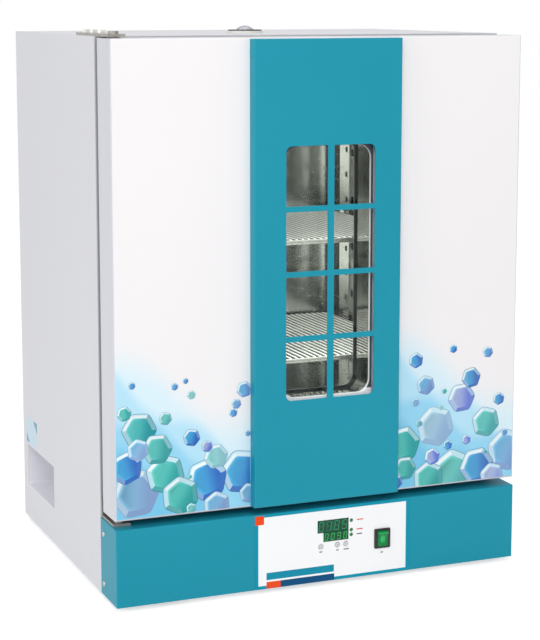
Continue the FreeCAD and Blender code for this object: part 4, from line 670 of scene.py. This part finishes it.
def slab(width, height, radius, levels, centre, along="y"):
    """A rounded plate: its outline drawn in by an inset at each (inset, height) level."""
    rings = []
    for inset, level in levels:
        outline = rounded_outline(width - 2 * inset, height - 2 * inset, radius - inset)
        rings.append(laid(outline[:, 0], outline[:, 1], level, along, centre))
    return skin(np.array(rings))


# Shelves


ROD_RADIUS = 1.6 * MM
RAIL_RADIUS = 2.0 * MM
ROD_PITCH = 9.8 * MM


def wire_steel():
    """Satin nickel on the shelf wires: a painted highlight along their tops and painted shade on
    their undersides, set by height.
    """
    satin = Finish("wire_steel", metallic=0.6)
    low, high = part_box("shelf_upper")
    bloom = satin.noise(140, 3)
    pits = satin.noise(1800, 2)
    # Painted highlight and shade by height: each wire turns bright on top and dark below; the upper
    # shelf is measured as if it were the lower one.
    level = satin.z - (satin.z > low.z - 5 * MM) * (low.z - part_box("shelf_lower")[0].z)
    crest_painted_highlight = (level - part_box("shelf_lower")[1].z).ramp(-2.6 * MM, -1.1 * MM)
    dull = satin.mix(bloom, srgb(92, 92, 88), srgb(128, 128, 122))
    satin.feed(base_color=satin.mix(crest_painted_highlight, dull, satin.mix(bloom, srgb(226, 226, 222),
                                                          srgb(248, 248, 244))),
               roughness=0.3 + 0.15 * bloom, normal=satin.bump(pits, 0.000008))
    return satin


def wire_shelf(node, finish):
    """Rods from front to back whose ends turn down onto a ladder of two rails at each edge."""
    low, high = (np.array(corner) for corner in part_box(node))
    left, right = low[0] + RAIL_RADIUS, high[0] - RAIL_RADIUS
    front, back = low[1] + RAIL_RADIUS, high[1] - RAIL_RADIUS
    top, bottom = high[2] - RAIL_RADIUS - ROD_RADIUS, low[2] + RAIL_RADIUS
    shapes = []
    frame_radius = 9 * MM
    outline = rounded_outline(right - left, back - front, frame_radius, 7)
    centre = ((left + right) / 2, (front + back) / 2)
    ahead = np.roll(outline, -1, 0) - np.roll(outline, 1, 0)
    ahead /= np.linalg.norm(ahead, axis=1, keepdims=True)
    turn = np.linspace(0, 2 * math.pi, 10, endpoint=False)
    for level in (bottom, top):
        out = outline[:, None] + RAIL_RADIUS * np.cos(turn)[:, None] * np.stack(
            [ahead[:, 1], -ahead[:, 0]], 1)[:, None]
        rise = np.broadcast_to(level + RAIL_RADIUS * np.sin(turn), out.shape[:2])
        shapes.append(skin(np.dstack([out[..., 0] + centre[0], out[..., 1] + centre[1], rise]),
                           closed_path=True))
    count = int((right - left - 2 * RAIL_RADIUS) / ROD_PITCH)
    places = np.linspace(left, right, count + 2)[1:-1]
    bend = 3 * MM
    arc = np.linspace(0, math.pi / 2, 5)
    rod_top = high[2] - ROD_RADIUS
    foot = bottom - 0.4 * MM
    down = [(front - 0.6 * MM, foot), (front - 0.6 * MM, rod_top - bend)]
    turn_in = [(front - 0.6 * MM + bend * (1 - math.cos(a)), rod_top - bend * (1 - math.sin(a)))
               for a in arc[1:]]
    half = np.array(down + turn_in)
    middle = (front + back) / 2
    other = half[::-1].copy()
    other[:, 0] = 2 * middle - other[:, 0]
    path = np.vstack([half, other])
    path = np.column_stack([np.zeros(len(path)), path])
    shapes.append(copies(tube(path, ROD_RADIUS, (1, 0, 0), 8),
                         [(x, 0, 0) for x in places]))
    cross_level = rod_top - ROD_RADIUS - RAIL_RADIUS
    for share in (0.33, 0.67):
        y = front + share * (back - front)
        shapes.append(tube(np.array([(left, y, cross_level), (0, y, cross_level),
                                     (right, y, cross_level)]), RAIL_RADIUS, (0, 0, 1)))
    body = next(name for name, members in frame["record"]["behaviour"]["bodies"].items()
                if node in members)
    piece(node + "_wires", joined(shapes), finish, body, "bright_stainless", node)


# Digits, captions and keys


SEGMENTS = {
    "0": "abcdef", "1": "bc", "2": "abged", "3": "abgcd", "4": "fgbc", "5": "afgcd",
    "6": "afgedc", "7": "abc", "8": "abcdefg", "9": "abfgcd",
}


def segment_bars(width, height, thick):
    """Centre, direction and length of the seven bars, named a to g from the top round."""
    half = height / 2
    return {
        "a": ((0, height), (1, 0), width), "b": ((width / 2, height - half / 2), (0, 1), half),
        "c": ((width / 2, half / 2), (0, 1), half), "d": ((0, 0), (1, 0), width),
        "e": ((-width / 2, half / 2), (0, 1), half),
        "f": ((-width / 2, height - half / 2), (0, 1), half), "g": ((0, half), (1, 0), width),
    }


def digits(name, node, number, height, finish, all_segments=False):
    """A row of leaning seven-segment figures, each bar a thin pointed plate on the window."""
    low, high = (np.array(corner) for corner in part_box(node))
    width, thick, lean = height * 0.5, height * 0.085, 0.14
    pitch = (high[0] - low[0]) / len(number)
    bars = segment_bars(width, height, thick)
    base = (low[2] + high[2] - height) / 2
    shapes = []
    for place, figure in enumerate(number):
        centre = low[0] + pitch * (place + 0.5) - lean * height / 2
        for letter in ("abcdefg" if all_segments else SEGMENTS[figure]):
            if all_segments and letter in SEGMENTS[figure]:
                continue
            (x, z), (dx, dz), length = bars[letter]
            reach = length / 2 - thick * 0.12
            point = thick / 2
            along = np.array([-reach, -reach + point, reach - point, reach, reach - point,
                              -reach + point])
            aside = np.array([0, point, point, 0, -point, -point])
            u = x + dx * along + dz * aside
            v = z + dz * along + dx * aside
            u = centre + u + lean * v
            depth = np.array([low[1] + 0.05 * MM, low[1] - 0.12 * MM])
            rings = np.stack([np.stack([u, np.full(6, y), base + v], 1) for y in depth])
            shapes.append(skin(rings))
    piece(name, joined(shapes), finish, "cabinet", "display_green", smooth=False)


def controls():
    """Lit figures, unlit figures, rings and arrows of the keys and caption marks."""
    dim = moulded("figures_unlit", srgb(10, 104, 70), 0.4, 0.00001)
    for node, number, height, glow in (
            ("display_upper", "0105", 13.2 * MM, lit("figures_upper", (26, 128, 84),
                                                     (44, 150, 100), 0.12)),
            ("display_lower", "0090", 9.6 * MM, lit("figures_lower", (44, 172, 66),
                                                    (66, 196, 76), 0.15))):
        digits(f"{node}_lit", node, number, height, glow)
        digits(f"{node}_unlit", node, number, height, dim, all_segments=True)
    low, high = (np.array(corner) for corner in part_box("control_label"))
    ink = moulded("ink_grey", srgb(92, 96, 104), 0.4, 0.00001)
    pale = moulded("ink_pale", srgb(142, 146, 154), 0.4, 0.00001)
    orange = moulded("ink_orange", srgb(236, 84, 48), 0.4, 0.00001)
    mark = [(0.0, 0.0), (0.0, -0.08 * MM)]
    marks = {"ink_grey": [], "ink_orange": []}

    def dash(colour, x, z, wide):
        marks[colour].append(slab(1.7 * MM, wide * MM, 0.6 * MM, mark,
                                  (low[0] + x * MM, low[1], low[2] + z * MM)))

    for x, z, wide in ((169.5, 89.0, 11), (169.0, 74.3, 10)):
        dash("ink_orange", x, z, wide)
    for x, z, wide in ((168.6, 66.9, 9), (105.4, 45.6, 5), (132.6, 45.6, 4), (147, 45.6, 9),
                       (206.2, 33.5, 4.5)):
        dash("ink_grey", x, z, wide)
    for name, shapes in marks.items():
        piece("captions_" + name[4:], joined(shapes), orange if name == "ink_orange" else ink,
              "cabinet", "label_film", smooth=False)
    for key, sign in (("key_set", 0), ("key_down", -1), ("key_up", 1)):
        key_low, key_high = (np.array(corner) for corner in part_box(key))
        centre = ((key_low[0] + key_high[0]) / 2, key_low[1], (key_low[2] + key_high[2]) / 2)
        outer, inner = 3.6 * MM, 3.2 * MM
        ring = turned([(inner, 0.1 * MM), (inner, -0.06 * MM), (outer, -0.06 * MM),
                       (outer, 0.1 * MM)], centre, "y", 40)
        turn = np.radians([90, 210, 330]) if sign else np.linspace(0, 2 * math.pi, 16, False)
        reach = 1.3 * MM if sign else 0.8 * MM
        u, v = reach * np.cos(turn), reach * np.sin(turn) * (sign or 1)
        rings = np.stack([laid(v, u, level, "y", centre) for level in (0.1 * MM, -0.06 * MM)])
        piece(key + "_mark", joined([ring, skin(rings)]), pale, key, "key_white", smooth=False)


# Fasteners, sticker and print


SIDE_SCREWS = [(side, -192.9, z) for side in (-322, 322) for z in (26.3, 101.1)]
REAR_SCREWS = [(x, 265.6, 48 + 235 * row) for x in (-312, 312) for row in range(4)]


def screw_head(centre, along, sign):
    """A pan head with a cross recess: height 1.8 (1 - r^6) mm over a disc of radius 4 mm, less
    1.1 mm within half a millimetre of the two axes, fading out past 2.2 mm from the centre."""
    ring = np.linspace(0.02, 1.0, 22)[:, None] ** 0.9
    turn = np.linspace(0, 2 * math.pi, 56, endpoint=False)[None]
    u, v = 4.0 * ring * np.cos(turn), 4.0 * ring * np.sin(turn)
    arm = np.clip((0.62 - np.minimum(abs(u), abs(v))) / 0.24, 0, 1)
    reach = np.clip((2.35 - 4.0 * ring) / 0.3, 0, 1)
    height = 1.8 * (1 - 0.75 * ring ** 6) - 1.1 * arm * reach
    rings = [laid(u[row] * MM, v[row] * MM, sign * height[row] * MM, along, centre)
             for row in range(len(ring))]
    foot = laid(u[-1] * MM, v[-1] * MM, 0 * u[-1], along, centre)
    return skin(np.array(rings + [foot]))


def screws():
    """Every screw of the rear panel and of the base cover's sides."""
    heads = [screw_head(np.array(place) * MM, "x", math.copysign(1, place[0]))
             for place in SIDE_SCREWS]
    heads += [screw_head(np.array(place) * MM, "y", 1) for place in REAR_SCREWS]
    piece("cross_screws", joined(heads), FINISHES["plated_steel"], "cabinet", "plated_steel",
          "panel_screws")


def sticker():
    """A blank sticker above the left hand recess."""
    plate = slab(66.4 * MM, 42.4 * MM, 1.2 * MM, [(0.0, 0.0), (0.0, -0.12 * MM)], STICKER, "x")
    piece("side_sticker", plate, sticker_film(), "cabinet", "label_film", smooth=False)


CELL_SIZES = (33, 31, 29, 27, 26, 24, 22, 21, 19, 17, 15, 14, 12, 11, 10, 9, 8, 7, 7, 6, 6, 5,
              5, 4, 4, 3)
PRINT_HEIGHT = 250
STRIP_HALF = 116.4 * MM


def cell_outline(points=48):
    """A unit hexagon with rounded corners: the reach in each direction is the sum of the
    CELL_POWERth powers of its cosines with the three face directions, to the power of minus one
    over CELL_POWER."""
    turn = np.linspace(0, 2 * math.pi, points, endpoint=False)
    faces = np.abs(np.cos(turn[:, None] - np.radians([0, 60, -60])))
    reach = (faces ** CELL_POWER).sum(1) ** (-1 / CELL_POWER)
    return np.stack([reach * np.cos(turn), reach * np.sin(turn)], 1)


def scattered(seed, wide):
    """Centres, sizes and kinds of cells on one panel, in millimetres: the largest first and low
    down, each at the first random place where it covers little of the earlier ones."""
    draw = np.random.default_rng(seed)
    cells = []
    for size in CELL_SIZES:
        ceiling = PRINT_HEIGHT * (1.0 - size / 48)
        for _ in range(80):
            x = draw.uniform(2, wide - 2)
            z = 6 + ceiling * draw.uniform() ** 1.25
            spacing = [math.hypot(x - a, z - b) / (size + c) for a, b, c, *_ in cells]
            if all(gap > 0.7 for gap in spacing):
                break
        cells.append((x, z, size, draw.uniform(0, math.pi / 3), draw.uniform(),
                      draw.uniform(0.84, 1.0), 0.4 * draw.uniform() ** 2))
    return cells


def door_print():
    """Thin ink hexagons on both halves of the door's foot, cut off at the panel's edges."""
    low, high = (np.array(corner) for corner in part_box("door_outer_pan"))
    ink = printed_cells()
    outline = cell_outline()
    margin = 2.6 * MM
    for hand, seed, start, end in (("left", 11, low[0] + margin, -STRIP_HALF),
                                   ("right", 26, STRIP_HALF, high[0] - margin)):
        shapes, places, kinds = [], [], []
        for layer, (x, z, size, turn, *kind) in enumerate(
                scattered(seed, (end - start) / MM)):
            spin = np.array([[math.cos(turn), math.sin(turn)], [-math.sin(turn), math.cos(turn)]])
            centre = np.array([start + x * MM, low[2] + z * MM])
            flat = centre + outline @ spin * size * MM
            flat = np.stack([np.clip(flat[:, 0], start, end),
                             np.maximum(flat[:, 1], low[2] + 2.6 * MM)], 1)
            local = (flat - centre) @ spin.T / (size * MM)
            depth = low[1] - 0.02 * MM * np.array([layer, layer + 1.0])
            rings = np.stack([np.column_stack([flat[:, 0], np.full(len(flat), y), flat[:, 1]])
                              for y in depth])
            shapes.append(skin(rings))
            place = np.column_stack([local, np.full(len(local), turn)])
            places += [place, place]
            kinds.append(np.tile(kind, (2 * len(flat), 1)))
        thing = piece(f"door_print_{hand}", joined(shapes), ink, "door", "door_paint",
                      smooth=False)
        for name, rows in (("place", places), ("kind", kinds)):
            layer = thing.data.attributes.new(name, "FLOAT_VECTOR", "POINT")
            layer.data.foreach_set("vector", np.vstack(rows).astype(np.float32).ravel())


# Floor, light and sky


UNDER_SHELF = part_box("shelf_upper")[0].z - 12 * MM


LIGHTS = [
    ("key_light", (-1.1, -3.5, 2.5), (0, 0, 0.4), (2.4, 2.4), 72, (1.0, 0.985, 0.97)),
    ("left_light", (-3.4, -0.5, 1.7), (0, 0.1, 0.4), (2.2, 2.2), 26, (1.0, 0.99, 0.98)),
    ("top_light", (0.2, 0.3, 3.4), (0, 0, 0.8), (2.6, 2.6), 12, (1.0, 1.0, 1.0)),
    ("chamber_glow", (0.0, -0.03, 0.748), (0.0, -0.03, 0.2), (0.42, 0.26), 0.8,
     (1.0, 0.99, 0.97)),
    ("window_glow", (0.003, -0.188, 0.477), (0.003, 0.2, 0.477), (0.13, 0.36), 0.6,
     (1.0, 0.99, 0.97)),
    ("shelf_glow", (0.0, -0.02, UNDER_SHELF), (0.0, -0.02, 0.2), (0.38, 0.24), 0.85,
     (1.0, 0.99, 0.97)),
]


def studio():
    """A white floor and sky as the camera sees them, three soft lights and three in the chamber.

    Each light has its place, the point it looks at, its two sides, its power and its tint.
    """
    world = bpy.data.worlds.new("studio")
    bpy.context.scene.world = world
    world.use_nodes = True
    nodes, links = world.node_tree.nodes, world.node_tree.links
    nodes.clear()
    path = nodes.new("ShaderNodeLightPath")
    seen = nodes.new("ShaderNodeMath")
    seen.operation = "MAXIMUM"
    links.new(path.outputs["Is Camera Ray"], seen.inputs[0])
    clear = nodes.new("ShaderNodeMath")
    clear.operation = "MAXIMUM"
    links.new(path.outputs["Is Glossy Ray"], clear.inputs[0])
    links.new(path.outputs["Is Transmission Ray"], clear.inputs[1])
    links.new(clear.outputs[0], seen.inputs[1])
    light = nodes.new("ShaderNodeBackground")
    light.inputs["Color"].default_value = srgb(250, 250, 252)
    light.inputs["Strength"].default_value = 0.55
    white = nodes.new("ShaderNodeBackground")
    white.inputs["Color"].default_value = (1, 1, 1, 1)
    mix = nodes.new("ShaderNodeMixShader")
    out = nodes.new("ShaderNodeOutputWorld")
    links.new(seen.outputs[0], mix.inputs[0])
    links.new(light.outputs[0], mix.inputs[1])
    links.new(white.outputs[0], mix.inputs[2])
    links.new(mix.outputs[0], out.inputs["Surface"])

    for name, place, target, size, power, tint in LIGHTS:
        lamp = bpy.data.lights.new(name, "AREA")
        lamp.shape = "RECTANGLE"
        lamp.size, lamp.size_y = size
        lamp.energy, lamp.color = power, tint
        holder = bpy.data.objects.new(name, lamp)
        holder.location = place
        aim = np.array(place) - np.array(target)
        yaw = math.atan2(aim[0], -aim[1])
        tilt = math.atan2(math.hypot(aim[0], aim[1]), aim[2])
        holder.rotation_euler = (tilt, 0, yaw)
        bpy.context.collection.objects.link(holder)

    ground = Finish("floor_white", base_color=srgb(240, 240, 240), roughness=0.9)
    ray = ground.tree.nodes.new("ShaderNodeLightPath")
    sight = Wire(ground, ray.outputs["Is Camera Ray"]).math(
        "MAXIMUM", Wire(ground, ray.outputs["Is Glossy Ray"])).math(
        "MAXIMUM", Wire(ground, ray.outputs["Is Transmission Ray"]))
    extra = ground.tree.nodes.new("ShaderNodeEmission")
    ground.set(extra, "Strength", sight * 0.5)
    both = ground.tree.nodes.new("ShaderNodeAddShader")
    ground.tree.links.new(ground.shader.outputs[0], both.inputs[0])
    ground.tree.links.new(extra.outputs[0], both.inputs[1])
    ground.tree.links.new(both.outputs[0], ground.output.inputs["Surface"])
    reach = 12.0
    mesh = bpy.data.meshes.new("floor")
    mesh.from_pydata([(-reach, -reach, 0), (reach, -reach, 0), (reach, reach, 0),
                      (-reach, reach, 0)], [], [(0, 1, 2, 3)])
    mesh.materials.append(ground.material)
    floor = bpy.data.objects.new("floor", mesh)
    bpy.context.collection.objects.link(floor)


camera()
studio()
dress_nodes()
WIRE_FINISH = wire_steel()
wire_shelf("shelf_lower", WIRE_FINISH)
wire_shelf("shelf_upper", WIRE_FINISH)
controls()
screws()
sticker()
door_print()

bpy.context.scene.view_settings.view_transform = "Standard"
